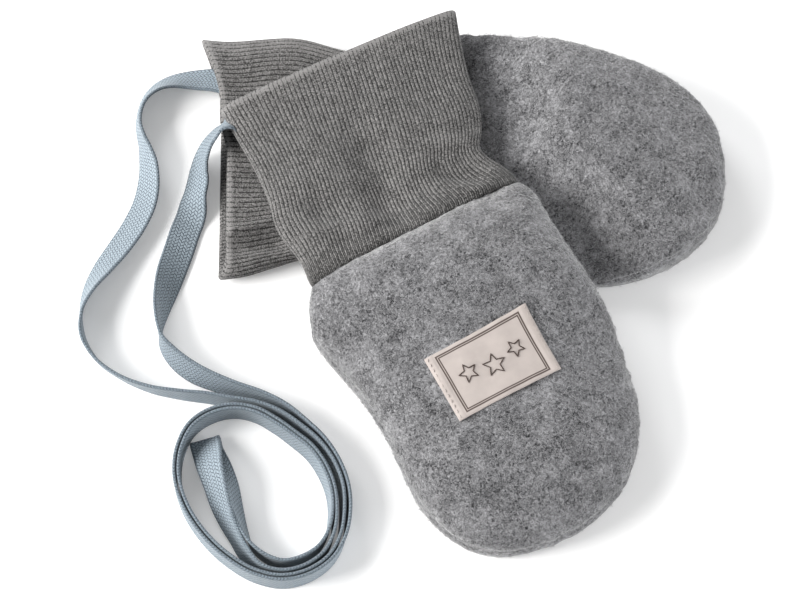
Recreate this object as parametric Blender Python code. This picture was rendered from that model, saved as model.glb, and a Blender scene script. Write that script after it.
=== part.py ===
"""A pair of thumbless baby mittens on a tape, laid flat: the upper mitten lies across the lower one.

Each mitten is a bag of two wool fleece panels, which meet along a side seam, and a rib-knit cuff. A flat braided
tape runs from one cuff to the other, folded at its middle and wound into an oval coil beside the mittens.

Metres, +Z up, the surface that all of it rests on is z = 0. The origin is on that surface, under the middle of
the two mittens' outline. +Y points to the cuffs' side.
"""

import math

import bmesh
import bpy
import numpy as np

MM = 0.001
SAME_POINT = 1e-6  # metres
SHARP_ANGLE = 45.0

# Sizes of the garment, in millimetres.
SEAM_GAP = 0.3  # between sewn pieces
FLEECE_WALL = 2.8  # wool fleece panel
RIB_WALL = 2.0  # doubled rib-knit cuff
RIB_COUNT = 120  # knit ribs round one cuff
RIB_DEPTH = 0.35  # groove between two ribs
POINTS_PER_RIB = 2
CUFF_INNER_POINTS = 48  # round the plain inside of a cuff
PANEL_POINTS = 18  # across a panel, from side seam to side seam
FIRST_STATION = 5.0  # along a panel, after its edge at the cuff
LAST_STRAIGHT = 44.0  # from where the stations come closer together
STRAIGHT_STATIONS = 8
TIP_STATIONS = 9  # along a panel's rounded end

# Cross-sections are superellipses, |sin| and |cos| raised to these powers.
SIDE_POWER = 0.80
TOP_POWER = 0.78
UNDER_SIDE_POWER = 0.28
UNDER_POWER = 0.30
CUFF_SIDE_POWER = 0.90
CUFF_TOP_POWER = 0.62
CUFF_FINE_STEPS = 1440  # round a section, to space its points evenly
UNDER_FLATTEN = 1.06  # over 1, so that an underside has a flat middle
UNDER_TIP_POWER = 5.0  # how late the underside comes up at the rounded end

# The lower cuff's opening runs out to a corner: from this share of its half width, and how sharply.
CORNER_FROM = 0.45
CORNER_POWER = 1.5

# How the mittens lie on each other.
PRESSED = 9.5  # height of the lower mitten under the upper one
PRESS_SHELF = 4.0  # beside the upper mitten, where it stays pressed
PRESS_RAMP = 26.0  # over which it comes back to full height
BED = 10.0  # height of the upper mitten's underside over the lower one
BED_START = -24.0  # plan y where that underside begins to lift off the surface
BED_END = 5.0  # plan y from which it lies on the lower mitten

# The middle of the mittens' outline in the plan that the tables below use.
PLAN_CENTRE = (18.9, 4.2)

# Cuff sections, from the opening to the seam: distance along from the seam, centre line, half width, slant of
# the section, extra length at one corner, height, height of the side folds.
CUFF_COLUMNS = ("along", "centre", "half", "slant", "corner", "high", "side")
LOWER_CUFF = (
    (-51.8, 0.2, 40.1, 0.008, 6.5, 9.2, 3.8),
    (-45.0, 0.5, 39.5, 0.004, 3.4, 9.0, 4.0),
    (-36.0, 1.6, 37.8, 0.00, 1.0, 9.0, 4.2),
    (-28.0, 2.6, 36.4, 0.00, 0.0, 9.2, 4.4),
    (-18.0, 2.2, 35.2, 0.00, 0.0, 9.2, 4.6),
    (-8.0, 0.8, 34.6, 0.00, 0.0, 9.6, 4.8),
    (0.0, -0.2, 35.4, 0.00, 0.0, 10.6, 5.2),
)
UPPER_CUFF = (
    (-61.9, -3.7, 39.1, 0.125, 0.0, 9.2, 4.2),
    (-52.0, -3.6, 37.3, 0.13, 0.0, 9.0, 4.2),
    (-40.0, -3.3, 35.5, 0.135, 0.0, 9.2, 4.4),
    (-28.0, -3.1, 34.9, 0.15, 0.0, 9.6, 4.6),
    (-21.0, -4.2, 34.2, 0.16, 0.0, 9.5, 4.7),
    (-15.5, -4.8, 32.4, 0.17, 0.0, 9.4, 4.8),
    (-11.5, -3.4, 32.4, 0.175, 0.0, 9.5, 4.9),
    (-7.0, -1.3, 33.3, 0.18, 0.0, 10.0, 5.0),
    (0.0, 0.5, 34.7, 0.18, 0.0, 11.4, 5.4),
)

# Bag sections, from the cuff seam to where the rounded end begins.
BAG_COLUMNS = ("along", "centre", "half", "slant", "high", "seam")
LOWER_BAG = (
    (0.0, -0.2, 36.4, 0.00, 11.4, 5.6),
    (7.0, 0.0, 39.0, 0.00, 15.5, 7.5),
    (15.0, 0.4, 40.6, 0.00, 18.5, 9.0),
    (26.0, 0.2, 41.0, 0.00, 20.5, 10.5),
    (44.0, -2.0, 39.2, 0.00, 21.0, 11.5),
    (72.0, -5.8, 38.4, 0.00, 20.5, 11.5),
    (100.3, -6.6, 38.4, 0.00, 19.0, 11.0),
)
UPPER_BAG = (
    (0.0, 0.3, 35.4, 0.18, 12.0, 5.8),
    (7.0, 0.7, 37.8, 0.16, 15.5, 7.0),
    (15.0, 1.0, 38.8, 0.11, 18.5, 7.5),
    (26.0, 3.8, 38.8, 0.05, 20.5, 7.5),
    (40.0, 8.1, 38.4, 0.00, 22.0, 7.0),
    (58.0, 10.3, 36.6, 0.00, 22.0, 6.5),
    (80.0, 9.6, 36.0, 0.00, 20.5, 6.0),
    (92.0, 7.8, 36.0, 0.00, 19.0, 5.8),
    (100.3, 5.4, 36.0, 0.00, 18.0, 5.5),
)

# Where each mitten lies: the middle of its cuff seam in the plan, the way its tip points, where its rounded end
# begins and stops, and how square that end is.
LIE_COLUMNS = ("x", "y", "turn", "tip_start", "tip", "tip_power")
LOWER_LIE = (-2.0, 45.0, 0.0, 44.0, 100.3, 2.3)
UPPER_LIE = (4.4, 14.5, -71.8, 62.0, 100.3, 2.2)

# The label on the upper mitten's back panel.
LABEL_CENTRE = (26.8, -28.8)
LABEL_TURN = 28.5
LABEL_SIZE = (33.5, 21.5)
LABEL_THICK = 0.8
LABEL_LIFT = 0.65  # over the panel's smooth form, so that it clears the panel's facets by about 0.3
LABEL_GRID = (10, 7)

# The braided tape. Its routes are centre lines: x and y in the plan, the height that it is lifted over lying on
# the surface, and how far it leans to the right of its way, in degrees: 0 stands on its edge, 90 lies flat, and
# 180 stands on its other edge.
TAPE_WIDTH = 9.3
TAPE_THICK = 1.2
ROUTE_STEP = 6.0  # between the points that a tape is drawn through
ABOVE_SURFACE = 0.05  # a tape's lower edge, where it isn't lifted
ROUTE_COLUMNS = ("x", "y", "lift", "lean")
LOWER_CUFF_TAPE = (
    (-58.2, 71.6, 1.7, -72.0),
    (-61.6, 71.8, 0.9, -67.0),
    (-65.9, 71.7, 0.2, -58.0),
    (-70.0, 71.0, 0.0, -48.0),
    (-73.8, 69.3, 0.0, -38.0),
    (-76.8, 66.5, 0.0, -28.0),
    (-78.8, 62.9, 0.0, -18.0),
    (-79.8, 58.2, 0.0, -12.0),
    (-79.6, 54.2, 0.0, -10.0),
    (-78.7, 50.8, 0.0, -13.0),
    (-77.4, 46.4, 0.0, -26.0),
    (-76.5, 42.4, 0.0, -38.0),
    (-76.3, 38.6, 0.0, -46.0),
    (-77.2, 31.0, 0.0, -58.0),
    (-80.2, 23.4, 0.0, -62.0),
    (-84.4, 16.2, 0.0, -60.0),
    (-89.0, 9.0, 0.0, -50.0),
    (-92.9, 1.4, 0.0, -30.0),
    (-94.8, -6.4, 0.0, -8.0),
    (-94.0, -14.0, 0.0, 6.0),
    (-89.9, -20.8, 0.0, 10.0),
    (-83.2, -26.0, 0.0, 12.0),
    (-74.4, -29.9, 0.0, 8.0),
    (-64.6, -31.9, 0.0, 3.0),
    (-56.4, -32.9, 0.0, 0.0),
    (-50.4, -33.6, 0.0, 0.0),
)
UPPER_CUFF_TAPE = (
    (-53.0, 51.3, 9.8, -31.0),
    (-55.7, 49.2, 8.1, -29.0),
    (-58.2, 46.9, 5.1, -30.0),
    (-59.9, 44.5, 2.2, -32.0),
    (-61.0, 41.0, 0.3, -39.0),
    (-61.5, 36.6, 0.0, -51.0),
    (-62.3, 32.6, 0.0, -56.0),
    (-63.1, 27.6, 0.0, -81.0),
    (-64.8, 22.2, 0.0, -96.0),
    (-66.6, 15.5, 0.0, -103.0),
    (-68.6, 8.4, 0.0, -116.0),
    (-70.2, 1.4, 0.0, -137.0),
    (-71.3, -4.8, 0.0, -157.0),
    (-71.6, -10.0, 0.0, -174.0),
    (-70.9, -14.6, 0.0, -186.0),
    (-67.2, -19.9, 0.0, -199.0),
    (-61.6, -24.5, 0.0, -203.0),
    (-55.2, -27.7, 0.0, -197.0),
    (-48.2, -30.3, 0.0, -190.0),
)

# The two legs of the tape's folded end, up to the fold. The upper leg lies against the lower one.
UPPER_LEG = (
    (-44.8, -79.6, 0.0, 16.0),
    (-47.8, -75.4, 0.3, 19.0),
    (-50.2, -70.8, 1.0, 26.0),
    (-52.1, -66.0, 2.4, 36.0),
    (-53.7, -60.6, 3.9, 44.0),
    (-55.3, -54.8, 4.3, 56.0),
    (-56.3, -50.0, 3.0, 68.0),
    (-57.1, -46.3, 1.6, 80.0),
)
LOWER_LEG = (
    (-42.6, -78.2, 0.0, 0.0),
    (-44.9, -73.0, 0.0, -10.0),
    (-47.1, -66.4, 0.0, -20.0),
    (-49.6, -60.2, 0.0, -33.0),
    (-53.0, -54.4, 0.0, -60.0),
    (-55.5, -50.3, 0.0, -86.0),
    (-56.4, -48.1, 0.0, -94.0),
    (-56.9, -46.2, 0.1, -100.0),
)
LEG_STEP = 4.0
FOLD_ROOM = 0.9  # that the upper leg is lifted further here than in a tight fold

# The coil of doubled tape: the outline of its outer side and of its hole.
COIL_OUTER = (
    (-46.4, -31.2),
    (-39.6, -32.6),
    (-33.0, -36.0),
    (-27.2, -40.6),
    (-21.4, -46.2),
    (-17.0, -53.0),
    (-14.2, -60.6),
    (-13.5, -68.6),
    (-14.8, -76.4),
    (-18.8, -83.6),
    (-25.4, -88.4),
    (-33.6, -90.3),
    (-42.0, -88.6),
    (-50.4, -83.6),
    (-57.8, -76.4),
    (-63.4, -67.6),
    (-66.2, -58.2),
    (-65.6, -49.2),
    (-61.8, -41.4),
    (-55.6, -36.8),
    (-49.6, -34.4),
)
COIL_HOLE = (
    (-43.4, -38.9),
    (-36.8, -41.7),
    (-30.6, -46.2),
    (-25.2, -52.2),
    (-21.4, -59.4),
    (-20.0, -67.6),
    (-20.8, -75.6),
    (-24.6, -81.4),
    (-31.2, -84.2),
    (-38.2, -83.0),
    (-41.8, -81.8),
    (-46.4, -82.3),
    (-53.6, -77.6),
    (-59.4, -70.2),
    (-63.0, -61.4),
    (-64.1, -52.6),
    (-61.6, -45.2),
    (-56.6, -40.3),
    (-50.0, -38.5),
)

WOOL = ("wool_fleece", (0.30, 0.31, 0.315), 0.95)
RIB_KNIT = ("rib_knit", (0.19, 0.18, 0.175), 0.90)
LABEL_CLOTH = ("label_cloth", (0.72, 0.64, 0.60), 0.75)
TAPE_BRAID = ("tape_braid", (0.26, 0.34, 0.42), 0.70)


def smooth_step(value):
    """0 below 0, 1 over 1, and a soft S between."""
    value = np.clip(value, 0.0, 1.0)
    return value * value * (3.0 - 2.0 * value)


def smooth_curve(places, values, at):
    """A cubic through the values, whose slope at each is that of its neighbours, read at the given places."""
    places = np.asarray(places, float)
    values = np.asarray(values, float)
    at = np.clip(at, places[0], places[-1])
    slopes = np.gradient(values, places)
    left = np.clip(np.searchsorted(places, at, side="right") - 1, 0, len(places) - 2)
    span = places[left + 1] - places[left]
    t = (at - places[left]) / span
    return (
        (2 * t**3 - 3 * t**2 + 1) * values[left]
        + (t**3 - 2 * t**2 + t) * span * slopes[left]
        + (3 * t**2 - 2 * t**3) * values[left + 1]
        + (t**3 - t**2) * span * slopes[left + 1]
    )


def read_table(table, columns, at):
    """Each column of a table of sections but the first, read smoothly at the given distances along."""
    rows = np.array(table)
    pairs = zip(columns[1:], rows.T[1:])
    return {name: smooth_curve(rows[:, 0], values, at) for name, values in pairs}


def power(value, exponent):
    """A sine or cosine raised to a power, with its sign kept."""
    return np.sign(value) * np.abs(value) ** exponent


def lie_of(lie):
    return dict(zip(LIE_COLUMNS, lie))


def to_plan(lie, along, across):
    """Plan x and y of points given along a mitten from its cuff seam, and across it."""
    turn = math.radians(lie["turn"])
    x = lie["x"] + along * math.cos(turn) - across * math.sin(turn)
    y = lie["y"] + along * math.sin(turn) + across * math.cos(turn)
    return x, y


def from_plan(lie, x, y):
    """Distance along and across a mitten of points given in the plan."""
    turn = math.radians(lie["turn"])
    dx = x - lie["x"]
    dy = y - lie["y"]
    along = dx * math.cos(turn) + dy * math.sin(turn)
    across = -dx * math.sin(turn) + dy * math.cos(turn)
    return along, across


def tip_round(lie, along, inset, exponent):
    """How much of its full width a bag still has along its rounded end: 1 down to 0, as a superellipse."""
    reach = lie["tip"] - inset
    share = np.clip((along - lie["tip_start"]) / (reach - lie["tip_start"]), 0.0, 1.0)
    return (1.0 - share**exponent) ** (1.0 / exponent)


def upper_mitten_right_edge(along):
    """Distance across, from its axis, of the upper mitten's edge on the lower mitten's tip side."""
    cuff = read_table(UPPER_CUFF, CUFF_COLUMNS, along)
    bag = read_table(UPPER_BAG, BAG_COLUMNS, along)
    in_bag = along > 0.0
    return np.where(
        in_bag, bag["centre"] + bag["half"], cuff["centre"] + cuff["half"]
    )


def pressed_share(x, y, full_height):
    """What share of its height the lower mitten keeps: less where the upper one lies on it."""
    along, across = from_plan(lie_of(UPPER_LIE), x, y)
    beyond = (across - upper_mitten_right_edge(along) - PRESS_SHELF) / PRESS_RAMP
    least = np.minimum(1.0, PRESSED / full_height)
    return least + (1.0 - least) * smooth_step(beyond)


def bed_height(x, y):
    """Height of the surface that the upper mitten lies on."""
    return BED * smooth_step((y - BED_START) / (BED_END - BED_START))


def settle(which, x, y, z, full_height):
    """Lays a point down: the lower mitten is pressed, and the upper one is lifted over it."""
    if which == "lower":
        return z * pressed_share(x, y, full_height)
    return z + bed_height(x, y)


def keep_seam_open(which, side, x, y, z, row):
    """What pressing takes from half the seam's gap, given back: all of it above the seam, less and less below."""
    if which != "lower":
        return 0.0
    lost = (1.0 - pressed_share(x, y, row["high"])) * SEAM_GAP / 2
    return lost if side > 0 else -lost * z / row["seam"]


def back_panel_height(row, inset, ends, angle):
    """Height of a back panel at an angle round its section, before its mitten is laid down."""
    low = row["seam"] + SEAM_GAP / 2
    return low + (row["high"] - inset - low) * ends * np.abs(np.sin(angle)) ** TOP_POWER


def bag_point(which, side, along, angle, inset):
    """Points of a bag's wall. side is 1 for the back panel, on top, and -1 for the front panel, underneath."""
    table, lie = (LOWER_BAG, LOWER_LIE) if which == "lower" else (UPPER_BAG, UPPER_LIE)
    lie = lie_of(lie)
    row = read_table(table, BAG_COLUMNS, along)
    ends = tip_round(lie, along, inset, lie["tip_power"])
    half = (row["half"] - inset) * ends
    if side > 0:
        across = row["centre"] + half * power(np.cos(angle), SIDE_POWER)
        z = back_panel_height(row, inset, ends, angle)
    else:
        low_ends = tip_round(lie, along, inset, UNDER_TIP_POWER)
        drop = (row["seam"] - SEAM_GAP / 2 - inset) * low_ends
        across = row["centre"] + half * power(np.cos(angle), UNDER_SIDE_POWER)
        curve = UNDER_FLATTEN * np.abs(np.sin(angle)) ** UNDER_POWER
        z = row["seam"] - SEAM_GAP / 2 - drop * np.minimum(1.0, curve)
    x, y = to_plan(lie, along - row["slant"] * (across - row["centre"]), across)
    laid = settle(which, x, y, z, row["high"]) + keep_seam_open(which, side, x, y, z, row)
    return np.stack([x, y, laid], axis=-1)


def cuff_section(row, inset, count, groove):
    """One ring of a cuff: a flattened superellipse, its points evenly spaced round it, with ribs between grooves."""
    angle = np.linspace(0.0, 2.0 * math.pi, CUFF_FINE_STEPS + 1)
    wide = (row["half"] - inset) * power(np.cos(angle), CUFF_SIDE_POWER)
    rise = row["high"] - inset - row["side"]
    drop = row["side"] - inset
    swell = power(np.sin(angle), CUFF_TOP_POWER)
    tall = row["side"] + np.where(
        swell > 0.0, rise * swell, drop * np.maximum(-1.0, UNDER_FLATTEN * swell)
    )
    length = np.concatenate([[0.0], np.cumsum(np.hypot(np.diff(wide), np.diff(tall)))])
    places = np.linspace(0.0, length[-1], count, endpoint=False)
    across = np.interp(places, length, wide)
    z = np.interp(places, length, tall)
    in_groove = np.arange(count) % POINTS_PER_RIB == 1
    depth = np.where(in_groove, groove, 0.0)
    middle = row["side"]
    return across * (1.0 - depth / row["half"]), z - depth * np.sign(z - middle)


def cuff_ring(which, along, inset, count, groove):
    """The points of one ring of a cuff, laid down in the plan."""
    table, lie = (
        (LOWER_CUFF, LOWER_LIE) if which == "lower" else (UPPER_CUFF, UPPER_LIE)
    )
    lie = lie_of(lie)
    row = read_table(table, CUFF_COLUMNS, np.array(along))
    across, z = cuff_section(row, inset, count, groove)
    share = np.clip((across / row["half"] - CORNER_FROM) / (1.0 - CORNER_FROM), 0.0, 1.0)
    back = along - row["slant"] * across - row["corner"] * share**CORNER_POWER
    x, y = to_plan(lie, back, across + row["centre"])
    return np.stack([x, y, settle(which, x, y, z, row["high"])], axis=-1)


def in_row(points):
    """Plan millimetres to the object's own metres."""
    shift = np.array([PLAN_CENTRE[0], PLAN_CENTRE[1], 0.0])
    return (np.asarray(points, float) - shift) * MM


def make_material(finish):
    name, colour, roughness = finish
    material = bpy.data.materials.get(name) or bpy.data.materials.new(name)
    material.use_nodes = True
    shader = material.node_tree.nodes["Principled BSDF"]
    shader.inputs["Base Color"].default_value = (*colour, 1.0)
    shader.inputs["Roughness"].default_value = roughness
    shader.inputs["Metallic"].default_value = 0.0
    return material


def add_object(name, data, finish, collection):
    thing = bpy.data.objects.new(name, data)
    data.materials.append(make_material(finish))
    collection.objects.link(thing)
    return thing


def add_mesh(name, points, faces, finish, collection):
    """A mesh object from points in plan millimetres, with equal points merged and its faces turned outwards."""
    mesh = bpy.data.meshes.new(name)
    mesh.from_pydata(in_row(points).tolist(), [], faces)
    work = bmesh.new()
    work.from_mesh(mesh)
    bmesh.ops.remove_doubles(work, verts=work.verts, dist=SAME_POINT)
    bmesh.ops.recalc_face_normals(work, faces=work.faces)
    work.to_mesh(mesh)
    work.free()
    mesh.shade_smooth()
    mesh.set_sharp_from_angle(angle=math.radians(SHARP_ANGLE))
    return add_object(name, mesh, finish, collection)


def grid_faces(rows, columns, start, around=False):
    """Quads of a grid of points that are numbered from start, row by row."""
    wrap = columns if around else columns - 1
    return [
        (
            start + r * columns + c,
            start + r * columns + (c + 1) % columns,
            start + (r + 1) * columns + (c + 1) % columns,
            start + (r + 1) * columns + c,
        )
        for r in range(rows - 1)
        for c in range(wrap)
    ]


def wall_faces(rows, columns):
    """Faces of a panel's wall: its outer grid, its inner grid, and its edges at the cuff and along the side seam."""
    inner = rows * columns
    faces = grid_faces(rows, columns, 0) + grid_faces(rows, columns, inner)
    for c in range(columns - 1):
        faces.append((c, c + 1, inner + c + 1, inner + c))
    for edge in (0, columns - 1):
        for r in range(rows - 1):
            here = r * columns + edge
            there = (r + 1) * columns + edge
            faces.append((here, there, inner + there, inner + here))
    return faces


def bag_stations(table, lie, inset):
    """Distances along a panel: evenly down its length, then closer and closer over its rounded end."""
    first = table[0][0] + SEAM_GAP / 2
    even = np.linspace(FIRST_STATION, LAST_STRAIGHT, STRAIGHT_STATIONS)
    straight = np.concatenate([[first], even])
    quarter = np.linspace(0.0, math.pi / 2, TIP_STATIONS + 1)[1:]
    reach = lie["tip"] - inset - LAST_STRAIGHT
    return np.concatenate([straight, LAST_STRAIGHT + reach * np.sin(quarter)])


def add_panel(which, side, name, collection):
    table, lie = (LOWER_BAG, LOWER_LIE) if which == "lower" else (UPPER_BAG, UPPER_LIE)
    angles = np.linspace(0.0, math.pi, PANEL_POINTS)
    layers = []
    for inset in (0.0, FLEECE_WALL):
        along = bag_stations(table, lie_of(lie), inset)
        u, a = np.meshgrid(along, angles, indexing="ij")
        layers.append(bag_point(which, side, u, a, inset).reshape(-1, 3))
    faces = wall_faces(len(along), PANEL_POINTS)
    return add_mesh(name, np.concatenate(layers), faces, WOOL, collection)


def ring_bridge(outer, inner, outer_start, inner_start):
    """Triangles and quads across a cuff's end, from a ring of many points to one of fewer."""
    each = outer // inner
    faces = []
    for k in range(inner):
        fan = [outer_start + (k * each + i) % outer for i in range(each + 1)]
        here = inner_start + k
        there = inner_start + (k + 1) % inner
        half = each // 2
        faces += [(here, fan[i], fan[i + 1]) for i in range(half)]
        faces.append((here, fan[half], there))
        faces += [(there, fan[i], fan[i + 1]) for i in range(half, each)]
    return faces


def add_cuff(which, name, collection):
    """A flattened tube of rib knit, ribbed outside and plain inside, open at both ends."""
    table = LOWER_CUFF if which == "lower" else UPPER_CUFF
    along = [row[0] for row in table]
    along[-1] -= SEAM_GAP / 2
    outer = RIB_COUNT * POINTS_PER_RIB
    rings = [cuff_ring(which, u, 0.0, outer, RIB_DEPTH) for u in along]
    rings += [cuff_ring(which, u, RIB_WALL, CUFF_INNER_POINTS, 0.0) for u in along]
    count = len(along)
    inner_start = count * outer
    faces = grid_faces(count, outer, 0, around=True)
    faces += grid_faces(count, CUFF_INNER_POINTS, inner_start, around=True)
    faces += ring_bridge(outer, CUFF_INNER_POINTS, 0, inner_start)
    last_outer = (count - 1) * outer
    last_inner = inner_start + (count - 1) * CUFF_INNER_POINTS
    faces += ring_bridge(outer, CUFF_INNER_POINTS, last_outer, last_inner)
    return add_mesh(name, np.concatenate(rings), faces, RIB_KNIT, collection)


def panel_top(x, y):
    """Height of the upper mitten's back panel over a plan point of its straight part."""
    lie = lie_of(UPPER_LIE)
    along, across = from_plan(lie, x, y)
    row = read_table(UPPER_BAG, BAG_COLUMNS, along)
    ends = tip_round(lie, along, 0.0, lie["tip_power"])
    share = np.clip((across - row["centre"]) / (row["half"] * ends), -1.0, 1.0)
    angle = np.arccos(power(share, 1.0 / SIDE_POWER))
    return back_panel_height(row, 0.0, ends, angle) + bed_height(x, y)


def add_label(collection):
    """A small woven rectangle that follows the panel under it, at the seam gap over its points."""
    turn = math.radians(LABEL_TURN)
    a = np.linspace(-0.5, 0.5, LABEL_GRID[0]) * LABEL_SIZE[0]
    b = np.linspace(-0.5, 0.5, LABEL_GRID[1]) * LABEL_SIZE[1]
    wide, tall = np.meshgrid(a, b, indexing="ij")
    x = LABEL_CENTRE[0] + wide * math.cos(turn) - tall * math.sin(turn)
    y = LABEL_CENTRE[1] + wide * math.sin(turn) + tall * math.cos(turn)
    low = panel_top(x, y) + LABEL_LIFT
    layers = [np.stack([x, y, low + up], -1).reshape(-1, 3) for up in (LABEL_THICK, 0.0)]
    rows, columns = LABEL_GRID
    faces = wall_faces(rows, columns)
    last = (rows - 1) * columns
    inner = rows * columns
    for c in range(columns - 1):
        here = last + c
        faces.append((here, here + 1, inner + here + 1, inner + here))
    return add_mesh("label", np.concatenate(layers), faces, LABEL_CLOTH, collection)


def tape_route(table, step=ROUTE_STEP):
    """Points at every step along a smooth curve through a route's own points, and the lean at each.

    The tape's middle is as high as its lean puts it when its lower edge touches the surface, plus its lift.
    """
    rows = np.array(table)
    chord = np.concatenate(
        [[0.0], np.cumsum(np.hypot(*np.diff(rows[:, :2], axis=0).T))]
    )
    count = max(4, round(chord[-1] / step) + 1)
    at = np.linspace(0.0, chord[-1], count)
    route = {name: smooth_curve(chord, rows[:, i], at) for i, name in enumerate(ROUTE_COLUMNS)}
    lean = np.radians(route["lean"])
    middle = (TAPE_WIDTH - TAPE_THICK) / 2 * np.abs(np.cos(lean)) + TAPE_THICK / 2
    z = middle + np.maximum(route["lift"], 0.0) + ABOVE_SURFACE
    return np.stack([route["x"], route["y"], z], -1), lean


def add_tape(name, points, lean, collection):
    """A flat tape as a curve: extruded to its width, with round edges and closed ends."""
    curve = bpy.data.curves.new(name, "CURVE")
    curve.dimensions = "3D"
    curve.twist_mode = "Z_UP"
    curve.fill_mode = "FULL"
    curve.extrude = (TAPE_WIDTH - TAPE_THICK) / 2 * MM
    curve.bevel_depth = TAPE_THICK / 2 * MM
    curve.bevel_resolution = 2
    curve.use_fill_caps = True
    spline = curve.splines.new("POLY")
    spline.points.add(len(points) - 1)
    for point, place, tilt in zip(spline.points, in_row(points), lean):
        point.co = (*place, 1.0)
        point.tilt = tilt
    return add_object(name, curve, TAPE_BRAID, collection)


def folded_end_route():
    """Up the coil's hole on one leg, round the fold, and back on the other, which ends up under the first.

    The way back is the other way round, so a lean to the right becomes one to the left. Half a turn is added to it,
    which leaves the tape as it is, so that its two faces go on from one leg to the other.
    """
    over, over_lean = tape_route(UPPER_LEG, LEG_STEP)
    under, under_lean = tape_route(LOWER_LEG, LEG_STEP)
    over[:, 2] += FOLD_ROOM
    heading = (over[-1:] - over[-2:-1]) * (1.0, 1.0, 0.0)
    turn = (over[-1:] + under[-1:]) / 2 + heading / np.linalg.norm(heading) * TAPE_THICK
    route = np.concatenate([over, turn, under[::-1]])
    back = -(under_lean + math.pi)[::-1]
    return route, np.concatenate([over_lean, [0.0], back])


def add_coil(collection):
    """The doubled turns of tape, standing on their edges, as one closed ring of their outer shape."""
    curve = bpy.data.curves.new("tape_coil", "CURVE")
    curve.dimensions = "2D"
    curve.fill_mode = "BOTH"
    curve.extrude = TAPE_WIDTH / 2 * MM
    for outline in (COIL_OUTER, COIL_HOLE):
        spline = curve.splines.new("POLY")
        points = in_row([(x, y, 0.0) for x, y in outline])
        spline.points.add(len(points) - 1)
        for point, place in zip(spline.points, points):
            point.co = (place[0], place[1], 0.0, 1.0)
        spline.use_cyclic_u = True
    coil = add_object("tape_coil", curve, TAPE_BRAID, collection)
    coil.location.z = (TAPE_WIDTH / 2 + ABOVE_SURFACE) * MM
    return coil


def main():
    for thing in list(bpy.data.objects):
        bpy.data.objects.remove(thing)
    collection = bpy.data.collections.new("baby_mittens")
    bpy.context.scene.collection.children.link(collection)
    for which in ("lower", "upper"):
        add_panel(which, 1, f"{which}_mitten_back_panel", collection)
        add_panel(which, -1, f"{which}_mitten_front_panel", collection)
        add_cuff(which, f"{which}_mitten_cuff", collection)
    add_label(collection)
    add_tape("lower_cuff_tape", *tape_route(LOWER_CUFF_TAPE), collection)
    add_tape("upper_cuff_tape", *tape_route(UPPER_CUFF_TAPE), collection)
    add_coil(collection)
    add_tape("tape_folded_end", *folded_end_route(), collection)


main()
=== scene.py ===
"""A pair of baby mittens on a braided tape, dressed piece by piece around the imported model.

Everything is worked out in plan millimetres, as the model's source does, and moved to the frame's metres when
it becomes a mesh. The upper mitten lies across the lower one, and the tape is wound into an oval coil beside
them.
"""

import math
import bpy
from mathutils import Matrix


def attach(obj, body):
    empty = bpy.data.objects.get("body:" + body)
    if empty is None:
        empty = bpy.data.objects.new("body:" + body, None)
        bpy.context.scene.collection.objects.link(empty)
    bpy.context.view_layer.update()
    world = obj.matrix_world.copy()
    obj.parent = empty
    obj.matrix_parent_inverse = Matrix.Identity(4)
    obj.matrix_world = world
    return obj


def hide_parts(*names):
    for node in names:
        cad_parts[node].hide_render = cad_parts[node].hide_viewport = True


bl_info = {
    "name": "Baby Mittens",
    "version": (1, 0, 0),
    "blender": (4, 5, 0),
    "location": "View3D > Sidebar > Mittens",
    "description": "Fleece mittens with rib-knit cuffs, joined by a flat braided tape",
    "category": "Add Mesh",
}

import bmesh
import bpy
import numpy as np

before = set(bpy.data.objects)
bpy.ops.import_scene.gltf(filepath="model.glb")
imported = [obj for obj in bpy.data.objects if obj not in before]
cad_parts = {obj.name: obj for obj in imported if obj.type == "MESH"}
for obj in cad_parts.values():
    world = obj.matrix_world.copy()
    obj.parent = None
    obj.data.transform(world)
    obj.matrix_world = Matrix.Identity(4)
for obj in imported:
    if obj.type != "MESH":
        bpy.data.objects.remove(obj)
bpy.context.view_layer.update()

MM = 0.001
FULL_TURN = 2.0 * math.pi
BODY = "root"
SAME_POINT = 1e-6
SHARP_EDGE = 50.0  # degrees

# The form of the mittens, in millimetres, as the model has it.
PLAN_CENTRE = (18.9, 4.2)
SEAM_GAP = 0.3
SIDE_POWER = 0.80
TOP_POWER = 0.78
UNDER_SIDE_POWER = 0.28
UNDER_POWER = 0.30
CUFF_SIDE_POWER = 0.90
CUFF_TOP_POWER = 0.62
CUFF_FINE_STEPS = 2880
UNDER_FLATTEN = 1.06
UNDER_TIP_POWER = 5.0
CORNER_FROM = 0.45
CORNER_POWER = 1.5
PRESSED = 9.5
PRESS_RAMP = 26.0
PRESS_SHELF = 4.0
BED = 10.0
BED_START = -24.0
BED_END = 5.0
CUFF_COLUMNS = ("along", "centre", "half", "slant", "corner", "high", "side")
LOWER_CUFF = (
    (-51.8, 0.2, 40.1, 0.008, 6.5, 9.2, 3.8),
    (-45.0, 0.5, 39.5, 0.004, 3.4, 9.0, 4.0),
    (-36.0, 1.6, 37.8, 0.00, 1.0, 9.0, 4.2),
    (-28.0, 2.6, 36.4, 0.00, 0.0, 9.2, 4.4),
    (-18.0, 2.2, 35.2, 0.00, 0.0, 9.2, 4.6),
    (-8.0, 0.8, 34.6, 0.00, 0.0, 9.6, 4.8),
    (0.0, -0.2, 35.4, 0.00, 0.0, 10.6, 5.2),
)
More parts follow.
